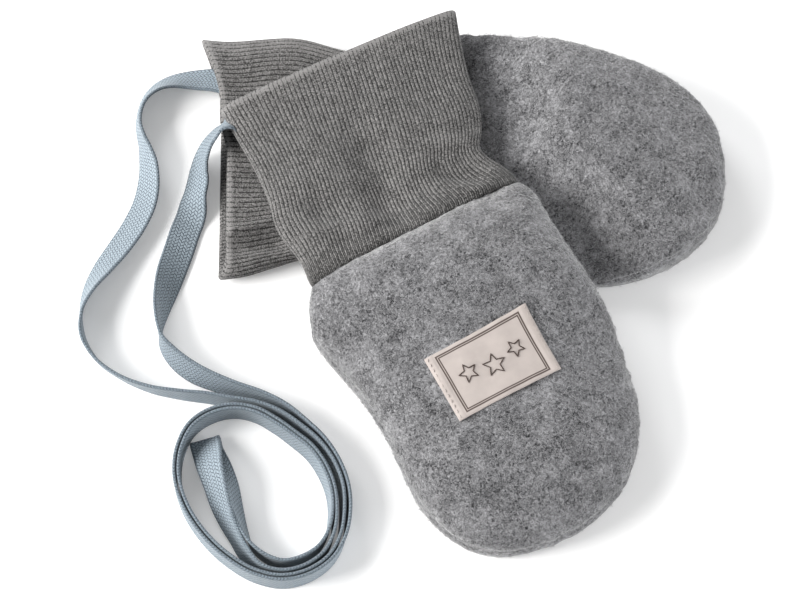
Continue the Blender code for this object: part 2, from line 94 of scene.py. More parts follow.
UPPER_CUFF = (
    (-61.9, -3.7, 39.1, 0.125, 0.0, 9.2, 4.2),
    (-52.0, -3.6, 37.3, 0.13, 0.0, 9.0, 4.2),
    (-40.0, -3.3, 35.5, 0.135, 0.0, 9.2, 4.4),
    (-28.0, -3.1, 34.9, 0.15, 0.0, 9.6, 4.6),
    (-21.0, -4.2, 34.2, 0.16, 0.0, 9.5, 4.7),
    (-15.5, -4.8, 32.4, 0.17, 0.0, 9.4, 4.8),
    (-11.5, -3.4, 32.4, 0.175, 0.0, 9.5, 4.9),
    (-7.0, -1.3, 33.3, 0.18, 0.0, 10.0, 5.0),
    (0.0, 0.5, 34.7, 0.18, 0.0, 11.4, 5.4),
)
BAG_COLUMNS = ("along", "centre", "half", "slant", "high", "seam")
LOWER_BAG = (
    (0.0, -0.2, 36.4, 0.00, 11.4, 5.6),
    (7.0, 0.0, 39.0, 0.00, 15.5, 7.5),
    (15.0, 0.4, 40.6, 0.00, 18.5, 9.0),
    (26.0, 0.2, 41.0, 0.00, 20.5, 10.5),
    (44.0, -2.0, 39.2, 0.00, 21.0, 11.5),
    (72.0, -5.8, 38.4, 0.00, 20.5, 11.5),
    (100.3, -6.6, 38.4, 0.00, 19.0, 11.0),
)
UPPER_BAG = (
    (0.0, 0.3, 35.4, 0.18, 12.0, 5.8),
    (7.0, 0.7, 37.8, 0.16, 15.5, 7.0),
    (15.0, 1.0, 38.8, 0.11, 18.5, 7.5),
    (26.0, 3.8, 38.8, 0.05, 20.5, 7.5),
    (40.0, 8.1, 38.4, 0.00, 22.0, 7.0),
    (58.0, 10.3, 36.6, 0.00, 22.0, 6.5),
    (80.0, 9.6, 36.0, 0.00, 20.5, 6.0),
    (92.0, 7.8, 36.0, 0.00, 19.0, 5.8),
    (100.3, 5.4, 36.0, 0.00, 18.0, 5.5),
)
LIE_COLUMNS = ("x", "y", "turn", "tip_start", "tip", "tip_power")
LOWER_LIE = dict(zip(LIE_COLUMNS, (-2.0, 45.0, 0.0, 44.0, 100.3, 2.3)))
UPPER_LIE = dict(zip(LIE_COLUMNS, (4.4, 14.5, -71.8, 62.0, 100.3, 2.2)))

# The fleece panels' finer form.
ROW_STEP = 0.95  # along a panel
TIP_ROWS = 46
PANEL_COLUMNS = 96
UNDER_SPREAD = 2.2  # how much closer an underside's columns lie near its side seams
SEAM_GROOVE = 0.9  # how far the side seam is pulled in
SEAM_REACH = 1.5  # height over which it is
SCALLOP = 0.28  # unevenness of that seam
SCALLOP_SIZE = 4.4
SCALLOP_FADE = 5.0  # height over which it fades
CUFF_SEAM_DIP = 1.5
CUFF_SEAM_PULL = 0.9
CUFF_SEAM_REACH = 1.5
PUCKER = 0.32
PUCKER_PITCH = 6.4
PUCKER_REACH = 8.0
PUCKER_WANDER = (2.2, 26.0)  # radians, and the size of the field that they follow
RELIEF_FADE = 0.7  # power of the sine that lets the relief fade at the side seam
SOFT_LUMP = (0.34, 17.0)  # height and size
SMALL_LUMP = (0.13, 5.0)
FIBRE_COUNTS = {1: 15000, -1: 5000}  # on a back panel and on a front panel
FIBRE_LENGTHS = (0.5, 1.25)  # least and most, of the length that is set
FIBRE_RADII = (0.7, 1.3)
FIBRE_BEND = (35.0, 110.0)  # least and most, in degrees
FIBRE_RISE = (0.05, 0.55)  # least and most
FIBRE_LIFT = 0.7  # share of the rise that each half makes
FIBRE_DROOP = 0.25  # what its outer half rises less
FIBRE_SHADE = (0.58, 0.34)  # middle and spread
FIBRE_ROOT_DEPTH = 0.15
FIBRE_POINTS = 7  # two rings of three and a tip
FIBRE_FLOOR = 0.8  # fibres underneath start above this
LABEL_CLEAR = 0.6  # from the label to the next fibre

# The rib-knit cuffs' finer form.
RIB_COUNT = 120
POINTS_PER_RIB = 6
GROOVE_WIDTH = 0.17  # of a rib's pitch
GROOVE_INSET = 0.4  # deeper in the wall there are no grooves
GROOVE_LOSS = (0.6, 6.0)  # share of the depth lost at the seam, and how far along that reaches
LIP_GROOVE = (0.12, 0.8, 9.0)  # share of the depth at the folded edge, and start and length of its growth
CUFF_ROWS = 50
LIP_ROWS = 5
CUFF_INNER_ROWS = 8
CUFF_BULGE = (0.3, -4.5, 3.0)  # height, place along and reach of the fuller ring above the seam
RIB_SWAY = (0.35, 3.0, 55.0)  # size, waves round the cuff, length of a wave along it
RIB_LEAN = (0.6, 9.0)  # at the seam, to the cuff's side, and how far along it reaches
RIBS_EVEN_AT = -28.0  # along
RIB_SPARE_TURN = 0.14  # share of the way round where ribs aren't pulled
TOP_SHARE = 0.6  # of the height over the sides, from which a point is fully on top
CUFF_LUMP = (0.18, 15.0)  # height and size
INNER_RELIEF = 0.2  # how far the inside follows a ridge
FOLD_ENDS = (3.0, 7.0)  # how far a fold reaches past its ends, and over what length it fades
LIP_LIGHT = (1.3, 0.55)  # how light the line along the folded edge is, and its half width
FAR_SIDE_PAINTED_LIGHT = (0.60, 1.6, 4.5)  # painted light on the lower cuff's far side, where light falls on it: how light, then its start and width
FAR_SIDE = (52.0, 24.0, 6.0, 10.0)  # starts and lengths of its ramps in the plan's y and away from the seam
SIDE_WAVE = (0.95, -44.0, 38.0)  # of that side: height, a place where it is zero, length
TOP_SET_BACK = 2.4  # of the lower cuff's top layer from its bottom layer
SET_BACK_ALONG = (38.0, 15.0)  # from the seam: start and length of its ramp
SET_BACK_ACROSS = (-12.0, 14.0)  # towards the near side, in the same way

# Soft troughs and ridges of the cuffs in the plan: from x, y to x, y, width, depth (a ridge is below zero).
UPPER_CUFF_FOLDS = (
    (4.0, 45.6, 30.0, 50.5, 2.6, 1.20),
    (6.0, 42.6, 30.0, 46.5, 2.4, -0.72),
    (-29.0, 13.0, -1.0, 18.6, 3.4, -1.45),
    (-27.0, 21.0, -2.0, 27.0, 5.0, 1.10),
    (-14.0, 52.0, -4.0, 30.0, 6.5, 1.28),
    (10.0, 34.0, 26.0, 31.0, 2.4, 0.96),
    (8.0, 30.5, 27.0, 26.8, 2.2, -0.80),
    (-38.0, 40.0, -28.0, 22.0, 7.0, 0.56),
    (14.0, 74.0, 6.0, 56.0, 7.0, 0.64),
    (-10.0, 44.0, -1.0, 15.0, 7.5, 2.0),
    (-22.0, 30.0, -15.0, 9.0, 5.0, 0.9),
    (-6.0, 20.0, 24.0, 36.0, 5.0, 1.1),
)
LOWER_CUFF_FOLDS = (
    (-53.0, 18.6, -36.0, 22.4, 1.4, -1.10),
    (-53.0, 13.6, -33.0, 16.4, 3.0, 2.60),
    (-54.0, 64.0, -30.0, 70.0, 4.0, 0.55),
    (-50.0, 76.0, -26.0, 74.5, 4.0, -0.45),
    (-44.0, 33.0, -34.0, 33.6, 4.0, 0.40),
)

# What sets the two mittens apart. rib_spare is how far ribs are pulled towards one side.
FORMS = {
    "lower": {
        "cuff": LOWER_CUFF,
        "bag": LOWER_BAG,
        "lie": LOWER_LIE,
        "folds": LOWER_CUFF_FOLDS,
        "rib_spare": 6.6,
        "fleece_seed": 11,
        "knit_seed": 31,
        "fibre_seed": 100,
    },
    "upper": {
        "cuff": UPPER_CUFF,
        "bag": UPPER_BAG,
        "lie": UPPER_LIE,
        "folds": UPPER_CUFF_FOLDS,
        "rib_spare": 0.0,
        "fleece_seed": 23,
        "knit_seed": 37,
        "fibre_seed": 200,
    },
}

# The braided tape: x, y in the plan, lift over lying on the surface, lean to the right of its way in degrees
# (0 stands on its edge, 90 lies flat, 180 stands on its other edge).
TAPE_WIDTH = 9.3
TAPE_THICK = 1.2
ROPE_RADIUS = 0.54  # of a rim
ROPE_POINTS = 6
ROPE_ARC = 100.0  # degrees that a rim's section runs to each side
ROPE_SWELL = 0.05
ROPE_WIND = 1.6  # how much the swellings wind round a rim
WEB_HALF = 0.40  # thickness
WEB_POINTS = 4
WEB_INSET = 1.1  # from a rim's middle to the web's first point
RIM_START = 3.75  # from the tape's middle
RIM_PITCH = 0.95
ABOVE_SURFACE = 0.05
TAPE_STEP = 0.28
CORD_STRIDE = 12  # steps between the points that describe a cord
LOWER_CUFF_TAPE = (
    (-50, 69.6, 3.9, 94), (-54, 70.7, 3.1, 100), (-58.2, 71.6, 1.7, 108), (-61.6, 71.8, 0.9, 113),
    (-65.9, 71.7, 0.2, 122), (-70, 71, 0, 132), (-73.8, 69.3, 0, 142), (-76.8, 66.5, 0, 152),
    (-78.8, 62.9, 0, 162), (-79.8, 58.2, 0, 168), (-79.6, 54.2, 0, 170), (-78.7, 50.8, 0, 167),
    (-77.4, 46.4, 0, 154), (-76.5, 42.4, 0, 142), (-76.3, 38.6, 0, 134), (-77.2, 31, 0, 122),
    (-80.2, 23.4, 0, 118), (-84.4, 16.2, 0, 120), (-89, 9, 0, 130), (-92.9, 1.4, 0, 150),
    (-94.8, -6.4, 0, 172), (-94, -14, 0, 186), (-89.9, -20.8, 0, 190), (-83.2, -26, 0, 192),
    (-74.4, -29.9, 0, 188), (-64.6, -31.9, 0, 183), (-56.4, -32.9, 0, 180), (-50.4, -34, 0, 180),
)
UPPER_CUFF_TAPE = (
    (-46, 52.4, 12.9, -88), (-48.6, 52.6, 12.7, -84), (-50.8, 52.3, 11.7, -64), (-53, 51.3, 9.8, -31),
    (-55.7, 49.2, 8.1, -29), (-58.2, 46.9, 5.1, -30), (-59.9, 44.5, 2.2, -32), (-61, 41, 0.3, -39),
    (-61.5, 36.6, 0, -51), (-62.3, 32.6, 0, -56), (-63.1, 27.6, 0, -81), (-64.8, 22.2, 0, -96),
    (-66.6, 15.5, 0, -103), (-68.6, 8.4, 0, -116), (-70.2, 1.4, 0, -137), (-71.3, -4.8, 0, -157),
    (-71.6, -10, 0, -174), (-70.9, -14.6, 0, -186), (-67.2, -19.9, 0, -199), (-61.6, -24.5, 0, -203),
    (-55.2, -27.7, 0, -197), (-48.2, -30.3, 0, -190),
)
# The outer side of the coil, from where the tape comes in, clockwise once round.
COIL_OUTER = (
    (-39.6, -32.6), (-33, -36), (-27.2, -40.6), (-21.4, -46.2), (-17, -53), (-14.2, -60.6), (-13.5, -68.6),
    (-14.8, -76.4), (-18.8, -83.6), (-25.4, -88.4), (-33.6, -90.3), (-42, -88.6), (-50.4, -83.6),
    (-57.8, -76.4), (-63.4, -67.6), (-66.2, -58.2), (-65.6, -49.2), (-61.8, -41.4), (-55.6, -36.8),
    (-49.6, -34.4),
)
# How far inside that outline a half's upper rim lies at each of its points: the upper cuff's half and the
# lower cuff's half on their first turn, then both on their second, which ends where they leave the coil.
INWARD = (
    (0.1, 0.3, 0.5) + (0.65,) * 15 + (0.95, 2.1),
    (3.5, 3.0, 2.6, 2.3, 2.1, 2.2, 2.4, 2.2) + (1.95,) * 10 + (2.25, 3.4),
    (5.4, 5.6, 5.3, 4.85, 4.7, 4.7, 4.6, 4.2, 3.8, 3.6, 3.5),
    (6.7, 6.8, 6.4, 5.9, 5.8, 5.8, 5.75, 5.85, 6.1, 6.3, 6.4),
)
# How many degrees its top leans out of the coil there.
OUTWARD = (
    (7, 5, 5, 7, 9, 9, 9, 7, 4, 2) + (0,) * 10,
    (0, 2, 5, 8, 9, 9, 9, 7, 4, 2) + (0,) * 10,
    (2, 4, 6, 8, 9, 9, 9, 7, 4, 2, 1),
    (2, 4, 6, 8, 9, 9, 9, 7, 4, 2, 1),
)
UPPER_LEG = (
    (-40.2, -85.2, 0, -176), (-45, -80.4, 0, -164), (-47.8, -75.4, 0.3, -161), (-50.2, -70.8, 1, -154),
    (-52.1, -66, 2.4, -144), (-53.7, -60.6, 3.9, -136), (-55.3, -54.8, 4.3, -124), (-56.3, -50, 3, -112),
    (-57.2, -46.2, 1.6, -100),
)
LOWER_LEG = (
    (-38.6, -82.2, 0, 180), (-42.8, -78.6, 0, 177), (-45.5, -73.3, 0, 166), (-47.7, -66.7, 0, 156),
    (-49.6, -60.2, 0, 147), (-53, -54.4, 0, 120), (-55.6, -50.2, 0, 94), (-56.5, -48.1, 0, 86),
    (-56.95, -46.14, 0.12, 80),
)
FOLD_RADIUS = 0.75
FOLD_POINTS = 6

# The label.
LABEL_LIE = {"x": 26.8, "y": -28.8, "turn": 28.5}
LABEL_SIZE = (33.5, 21.5)
LABEL_BASE = 0.25
LABEL_GRID = (84, 54)
LABEL_ROUND = (0.25, 0.35)  # how much thinner it is at its edges, and how far in that reaches
LABEL_LUMP = (0.12, 11.0)  # height and size
LABEL_WAVE = (0.10, 0.9, 2.5)  # height along the edges, radians a millimetre, how far in it reaches
HEM = (2.6, 0.5, 0.22)  # width of the folded ends, length of their step, and its height
BORDER_INSET = (3.1, 1.3)  # of the outer line from the short and from the long edges
BORDER_LINES = ((0.0, 0.16), (-0.62, 0.13))  # place and half width of each line
STAR_POINTS = 5
STAR_WAIST = 0.45  # of a star's radius
STARS = ((-7.6, 0.6, 3.0, 8.0), (0.2, -0.8, 3.5, -10.0), (8.0, 0.8, 2.8, 22.0))
STAR_STEPS = 4  # along each straight line
STAR_LIFT = 0.12
STAR_THREAD = 0.17
STITCH_THREAD = 0.13
STITCH_HALF = 0.42  # length
STITCH_LIFT = 0.26
STITCHES = 12  # along each short end
STITCH_INSET = (0.75, 1.0)  # from the short and from the long edges

# The camera and the stage. A light has its place in metres, its side, its watts and its tint.
CAMERA_TARGET = (0.0, 0.0, 0.0)  # in the plan
CAMERA_ELEVATION = 68.0
CAMERA_DISTANCE = 900.0
CAMERA_WIDTH = 240.0  # of the view at the target
SENSOR = 36.0
FLOOR_GLOW = 0.20  # of a light table, which keeps shadows pale
FLOOR_HALF = 1500.0
STUDIO_LIGHT = 0.4
LIGHTS = (
    ("key_light", (-1.10, -0.10, 0.60), 0.70, 29.5, (1.0, 0.99, 0.975)),
    ("side_light", (1.25, -0.50, 0.28), 0.55, 17.0, (0.98, 0.99, 1.0)),
    ("top_light", (-0.62, 0.90, 0.70), 0.6, 8.0, (0.98, 0.99, 1.0)),
)


class MittenSizes(bpy.types.PropertyGroup):
    """Sizes of the mittens and of what covers them."""

    fleece_wall: bpy.props.FloatProperty(
        name="Fleece wall", description="Thickness of a fleece panel", default=0.0028, unit="LENGTH"
    )
    rib_wall: bpy.props.FloatProperty(
        name="Rib wall", description="Thickness of the doubled rib knit", default=0.0020, unit="LENGTH"
    )
    rib_depth: bpy.props.FloatProperty(
        name="Rib depth", description="Depth of the groove between two ribs", default=0.00027, unit="LENGTH"
    )
    fibre_length: bpy.props.FloatProperty(
        name="Fibre length", description="Length of one wool fibre", default=0.0020, unit="LENGTH"
    )
    fibre_radius: bpy.props.FloatProperty(
        name="Fibre radius", description="Radius of one wool fibre", default=0.00005, unit="LENGTH"
    )
    label_thickness: bpy.props.FloatProperty(
        name="Label thickness", description="Thickness of the woven label", default=0.0006, unit="LENGTH"
    )


class MittenColours(bpy.types.PropertyGroup):
    """Colours of the mittens, the tape and the stage."""

    wool_dark: bpy.props.FloatVectorProperty(
        name="Wool, dark", description="Dark fleece fibres", subtype="COLOR", default=(0.02, 0.02, 0.022)
    )
    wool_light: bpy.props.FloatVectorProperty(
        name="Wool, light", description="Light fleece fibres", subtype="COLOR", default=(0.368, 0.367, 0.379)
    )
    # The rib's dark end is also the painted shade in its grooves, its light end the painted light on the far
    # side.
    rib_dark: bpy.props.FloatVectorProperty(
        name="Rib, dark", description="Dark rib yarn", subtype="COLOR", default=(0.018, 0.0175, 0.017)
    )
    rib_light: bpy.props.FloatVectorProperty(
        name="Rib, light", description="Light rib yarn", subtype="COLOR", default=(0.214, 0.208, 0.205)
    )
    tape_light: bpy.props.FloatVectorProperty(
        name="Tape, light", description="Yarn of the braid", subtype="COLOR", default=(0.262, 0.312, 0.352)
    )
    tape_dark: bpy.props.FloatVectorProperty(
        name="Tape, dark", description="Gaps of the braid", subtype="COLOR", default=(0.028, 0.040, 0.054)
    )
    label_cloth: bpy.props.FloatVectorProperty(
        name="Label", description="Cloth of the label", subtype="COLOR", default=(0.425, 0.376, 0.352)
    )
    label_line: bpy.props.FloatVectorProperty(
        name="Label line", description="Woven lines and stars", subtype="COLOR", default=(0.07, 0.05, 0.043)
    )
    floor: bpy.props.FloatVectorProperty(
        name="Floor", description="The surface underneath", subtype="COLOR", default=(0.90, 0.90, 0.90)
    )


def smooth_step(value):
    """0 below 0, 1 over 1, and a soft S between."""
    value = np.clip(value, 0.0, 1.0)
    return value * value * (3.0 - 2.0 * value)


def ramp(value, start, length):
    """0 before start, 1 from start + length on, and a soft S between."""
    return smooth_step((value - start) / length)


def bell(value):
    """1 at 0, falling softly to next to nothing at 2 to either side."""
    return np.exp(-np.square(value))


def smooth_curve(places, values, at):
    """A cubic through the values, whose slope at each is that of its neighbours, read at the given places."""
    places = np.asarray(places, float)
    values = np.asarray(values, float)
    at = np.clip(at, places[0], places[-1])
    slopes = np.gradient(values, places)
    left = np.clip(np.searchsorted(places, at, side="right") - 1, 0, len(places) - 2)
    span = places[left + 1] - places[left]
    t = (at - places[left]) / span
    return (
        (2 * t**3 - 3 * t**2 + 1) * values[left]
        + (t**3 - 2 * t**2 + t) * span * slopes[left]
        + (3 * t**2 - 2 * t**3) * values[left + 1]
        + (t**3 - t**2) * span * slopes[left + 1]
    )


def read_table(table, columns, at):
    """Each column of a table of sections but the first, read smoothly at the given distances along."""
    rows = np.array(table)
    pairs = zip(columns[1:], rows.T[1:])
    return {name: smooth_curve(rows[:, 0], values, at) for name, values in pairs}


def power(value, exponent):
    """A sine or cosine raised to a power, with its sign kept."""
    return np.sign(value) * np.abs(value) ** exponent


def unit(vectors):
    """Vectors made one long."""
    return vectors / np.linalg.norm(vectors, axis=-1, keepdims=True)


def to_plan(lie, along, across):
    """Plan x and y of points given along and across a mitten or the label."""
    turn = math.radians(lie["turn"])
    x = lie["x"] + along * math.cos(turn) - across * math.sin(turn)
    y = lie["y"] + along * math.sin(turn) + across * math.cos(turn)
    return x, y


def from_plan(lie, x, y):
    """Distance along and across a mitten or the label of points given in the plan."""
    turn = math.radians(lie["turn"])
    dx = x - lie["x"]
    dy = y - lie["y"]
    return dx * math.cos(turn) + dy * math.sin(turn), dy * math.cos(turn) - dx * math.sin(turn)


def tip_round(lie, along, inset, exponent):
    """How much of its width a bag still has along its rounded end: 1 down to 0, as a superellipse."""
    reach = lie["tip"] - inset
    share = np.clip((along - lie["tip_start"]) / (reach - lie["tip_start"]), 0.0, 1.0)
    return (1.0 - share**exponent) ** (1.0 / exponent)


def pressed_share(x, y, full_height):
    """What share of its height the lower mitten keeps: less where the upper one lies on it."""
    along, across = from_plan(UPPER_LIE, x, y)
    cuff = read_table(UPPER_CUFF, CUFF_COLUMNS, along)
    bag = read_table(UPPER_BAG, BAG_COLUMNS, along)
    edge = np.where(along > 0.0, bag["centre"] + bag["half"], cuff["centre"] + cuff["half"])
    least = np.minimum(1.0, PRESSED / full_height)
    return least + (1.0 - least) * ramp(across - edge, PRESS_SHELF, PRESS_RAMP)


def bed_height(y):
    """Height of the surface that the upper mitten lies on."""
    return BED * ramp(y, BED_START, BED_END - BED_START)


def settle(which, x, y, z, full_height):
    """Lays a point down: the lower mitten is pressed, and the upper one is lifted over it."""
    if which == "lower":
        return z * pressed_share(x, y, full_height)
    return z + bed_height(y)


def lumps(x, y, size, seed, waves=12):
    """A soft uneven field of about -1 to 1: a sum of sine waves in random directions, about size long."""
    draw = np.random.default_rng(seed)
    turns = draw.uniform(0.0, FULL_TURN, waves)
    pitches = size * draw.uniform(0.7, 1.6, waves)
    starts = draw.uniform(0.0, FULL_TURN, waves)
    total = 0.0
    for turn, pitch, start in zip(turns, pitches, starts):
        run = x * math.cos(turn) + y * math.sin(turn)
        total = total + np.sin(FULL_TURN * run / pitch + start)
    return total / math.sqrt(waves)


def in_row(points):
    """Plan millimetres to the frame's metres."""
    shift = np.array([PLAN_CENTRE[0], PLAN_CENTRE[1], 0.0])
    return (np.asarray(points, float) - shift) * MM


def new_mesh(name, points, faces, material, uv=None, values=None):
    """A mesh object from points in plan millimetres and rows of corner numbers, three or four to a row.

    uv has two numbers for each corner, and values has one number for each point.
    """
    faces = np.asarray(faces)
    sides = faces.shape[1]
    mesh = bpy.data.meshes.new(name)
    mesh.vertices.add(len(points))
    mesh.vertices.foreach_set("co", in_row(points).astype(np.float32).ravel())
    mesh.loops.add(faces.size)
    mesh.loops.foreach_set("vertex_index", faces.astype(np.int32).ravel())
    mesh.polygons.add(len(faces))
    mesh.polygons.foreach_set("loop_start", np.arange(0, faces.size, sides, dtype=np.int32))
    mesh.polygons.foreach_set("loop_total", np.full(len(faces), sides, dtype=np.int32))
    if uv is not None:
        mesh.uv_layers.new(name="UVMap").data.foreach_set("uv", np.asarray(uv, np.float32).ravel())
    if values is not None:
        layer = mesh.attributes.new("shade", "FLOAT", "POINT")
        layer.data.foreach_set("value", np.asarray(values, np.float32).ravel())
    mesh.update(calc_edges=True)
    mesh.validate()
    mesh.shade_smooth()
    mesh.materials.append(material)
    thing = bpy.data.objects.new(name, mesh)
    bpy.context.scene.collection.objects.link(thing)
    return thing


def grid_quads(rows, columns, wrap_rows=False, wrap_columns=False):
    """Corner numbers of the quads of a grid whose points are numbered row by row."""
    r = np.arange(rows if wrap_rows else rows - 1)
    c = np.arange(columns if wrap_columns else columns - 1)
    r, c = np.meshgrid(r, c, indexing="ij")
    r2 = (r + 1) % rows
    c2 = (c + 1) % columns
    quads = np.stack([r * columns + c, r * columns + c2, r2 * columns + c2, r2 * columns + c], -1)
    return quads.reshape(-1, 4)


def merge_poles(thing):
    """Merges a closed wall's equal points, turns its faces outwards and marks its sharp edges."""
    work = bmesh.new()
    work.from_mesh(thing.data)
    bmesh.ops.remove_doubles(work, verts=work.verts, dist=SAME_POINT)
    bmesh.ops.recalc_face_normals(work, faces=work.faces)
    work.to_mesh(thing.data)
    work.free()
    thing.data.shade_smooth()
    thing.data.set_sharp_from_angle(angle=math.radians(SHARP_EDGE))


def wall_mesh(name, outer, inner, material, both_ends=True, flat=None):
    """A closed wall between two grids of points, joined along its sides and at its first end or at both.

    flat has two numbers for each point of a grid, for the UV map.
    """
    rows, columns = outer.shape[:2]
    around = 2 * columns
    c = np.arange(columns - 1)
    near = np.stack([c + 1, c, around - 1 - c, around - 2 - c], -1)
    far = near[:, ::-1] + (rows - 1) * around
    faces = np.concatenate([grid_quads(rows, around, wrap_columns=True), near] + [far] * both_ends)
    uv = None
    if flat is not None:
        uv = np.concatenate([flat, flat[:, ::-1]], axis=1).reshape(-1, 2)[faces].reshape(-1, 2)
    points = np.concatenate([outer, inner[:, ::-1]], axis=1).reshape(-1, 3)
    thing = new_mesh(name, points, faces, material, uv=uv)
    merge_poles(thing)
    return thing


def dress(thing, nodes=()):
    """Puts a piece on the body and hides the nodes that it stands for."""
    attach(thing, BODY)
    if nodes:
        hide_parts(*nodes)
    return thing


# Materials


class Recipe:
    """A new material with the numbers that are the same all over it, and the nodes before its shader."""

    def __init__(self, name, roughness, specular=0.25, sheen=0.0, sheen_roughness=0.5):
        self.material = bpy.data.materials.new(name)
        self.material.use_nodes = True
        self.tree = self.material.node_tree
        self.shader = self.tree.nodes["Principled BSDF"]
        self.put("Roughness", roughness)
        self.put("Specular IOR Level", specular)
        self.put("Sheen Weight", sheen)
        self.put("Sheen Roughness", sheen_roughness)

    def put(self, key, value, owner=None):
        """Gives an input of the shader or of another node a number, a colour or a node's output."""
        socket = (owner or self.shader).inputs[key]
        if isinstance(value, bpy.types.NodeSocket):
            self.tree.links.new(value, socket)
        else:
            socket.default_value = value

    def node(self, kind, inputs=None, **settings):
        """Adds a node with its settings and inputs."""
        made = self.tree.nodes.new(kind)
        for key, value in settings.items():
            setattr(made, key, value)
        for key, value in (inputs or {}).items():
            self.put(key, value, made)
        return made

    def place(self, kind="Object"):
        """The place that a pattern follows: on the object, or in its UV map."""
        return self.node("ShaderNodeTexCoord").outputs[kind]

    def flat_place(self):
        """The two numbers of the piece's UV map."""
        return self.node("ShaderNodeSeparateXYZ", {0: self.place("UV")}).outputs[:2]

    def shade(self):
        """The piece's own shade value."""
        return self.node("ShaderNodeAttribute", attribute_name="shade").outputs["Fac"]

    def math(self, operation, first, second=0.0, third=0.0, clamp=False):
        """The output of a Math node."""
        inputs = {0: first, 1: second, 2: third}
        return self.node("ShaderNodeMath", inputs, operation=operation, use_clamp=clamp).outputs[0]

    def total(self, *terms, start=0.0, clamp=False):
        """The sum of pairs of a value and its weight."""
        for count, (value, weight) in enumerate(terms, 1):
            last = count == len(terms)
            start = self.math("MULTIPLY_ADD", value, weight, start, clamp=clamp and last)
        return start

    def from_half(self, value):
        """How far the value's fraction is from a half."""
        fraction = self.math("FRACT", value)
        return self.math("ABSOLUTE", self.math("SUBTRACT", fraction, 0.5))

    def wave(self, value, pitch):
        """A sine wave."""
        return self.math("SINE", self.math("MULTIPLY", value, FULL_TURN / pitch))

    def noise(self, place, scale, detail=2.0, roughness=0.5, distortion=0.0):
        """A noise whose features are about 1 / scale long."""
        inputs = {"Vector": place, "Scale": scale, "Detail": detail, "Roughness": roughness}
        return self.node("ShaderNodeTexNoise", {**inputs, "Distortion": distortion}).outputs["Fac"]

    def spread(self, value, low, high, to_low=0.0, to_high=1.0):
        """Maps low to high onto another range, and stops at its ends."""
        inputs = {0: value, 1: low, 2: high, 3: to_low, 4: to_high}
        return self.node("ShaderNodeMapRange", inputs, clamp=True).outputs[0]

    def mix(self, share, first, second):
        """A mix of two colours, each three numbers or a node's output."""
        made = self.node("ShaderNodeMix", {0: share}, data_type="RGBA")
        for key, value in ((6, first), (7, second)):
            self.put(key, value if isinstance(value, bpy.types.NodeSocket) else (*value, 1.0), made)
        return made.outputs[2]

    def paint(self, share, first, second):
        """Colours the shader with a mix of two colours."""
        self.put("Base Color", self.mix(share, first, second))

    def relief(self, *layers):
        """Bumps on top of one another, each with its height, distance and strength."""
        below = {}
        for height, distance, strength in layers:
            inputs = {"Height": height, "Distance": distance, "Strength": strength, **below}
            below = {"Normal": self.node("ShaderNodeBump", inputs).outputs["Normal"]}
        self.put("Normal", below["Normal"])


def tinted(colour, share):
    """A colour made lighter or darker."""
    return [min(1.0, share * value) for value in colour]


def wool_material(colours):
    """Felted fleece: soft patches, curly clumps of fibres and fine specks, in tone and in relief."""
    wool = Recipe("brushed_wool_fleece", 0.95, 0.15, 1.0, 0.34)
    place = wool.place()
    patches = wool.noise(place, 150.0, 3.0, 0.5, 0.3)
    clumps = wool.noise(place, 420.0, 2.0, 0.5, 1.2)
    curls = wool.noise(place, 1350.0, 4.0, 0.75, 1.2)
    tone = wool.total((patches, 0.17), (clumps, 0.15), (curls, 0.68))
    wool.paint(wool.spread(tone, 0.408, 0.624), colours.wool_dark, colours.wool_light)
    wool.relief((clumps, 0.0009, 0.45), (curls, 0.0006, 0.7))
    return wool.material


def fibre_material(colours):
    """Single wool fibres, each as dark or light as its own shade value."""
    fibre = Recipe("wool_fibre", 0.9, 0.15, 0.6, 0.4)
    fibre.paint(fibre.shade(), colours.wool_dark, tinted(colours.wool_light, 1.12))
    return fibre.material


def rib_material(colours):
    """Melange rib knit: small slanted loops, grooves darkened with painted shade that fibres break up, a
    lighter folded edge, and painted light along the lower cuff's far side.

    The UV map counts ribs across and millimetres along. Near the seam a line of painted shade shows between
    two ribs as well.
    """
    knit = Recipe("melange_rib_knit", 0.9, 0.18, 0.22, 0.5)
    ribs, along = knit.flat_place()
    from_groove = knit.from_half(ribs)
    loop = knit.spread(knit.wave(knit.total((along, 1.0 / 0.9), (from_groove, 0.9)), 1.0), -1.0, 1.0)
    # painted shade near the seam: a dark line between two ribs
    near_seam = knit.spread(along, 5.0, 9.0, 1.0, 0.0)
    between = knit.math("MULTIPLY", knit.spread(from_groove, 0.34, 0.46), near_seam)
    place = knit.place()
    yarn = knit.noise(place, 2300.0, 2.0, 0.8, 0.6)
    mottle = knit.spread(yarn, 0.405, 0.595)
    patch = knit.spread(knit.noise(place, 260.0), 0.35, 0.65)
    broken = knit.spread(knit.noise(place, 900.0, 2.0, 0.6), 0.36, 0.54, 0.30, 1.0)
    # painted shade in the grooves between ribs, broken up by noise
    groove = knit.math("MAXIMUM", knit.spread(from_groove, 0.05, 0.19, 1.0, 0.0), between)
    groove = knit.math("MULTIPLY", groove, broken)
    # the shade value: a lighter line at the folded edge, and painted light on the lower cuff's far side
    edge = knit.shade()
    terms = ((mottle, 0.92), (loop, 0.05), (patch, 0.16), (groove, -0.92), (edge, 0.55))
    knit.paint(knit.total(*terms, clamp=True), colours.rib_dark, colours.rib_light)
    knit.relief((loop, 0.00025, 0.25), (yarn, 0.00025, 0.5))
    return knit.material


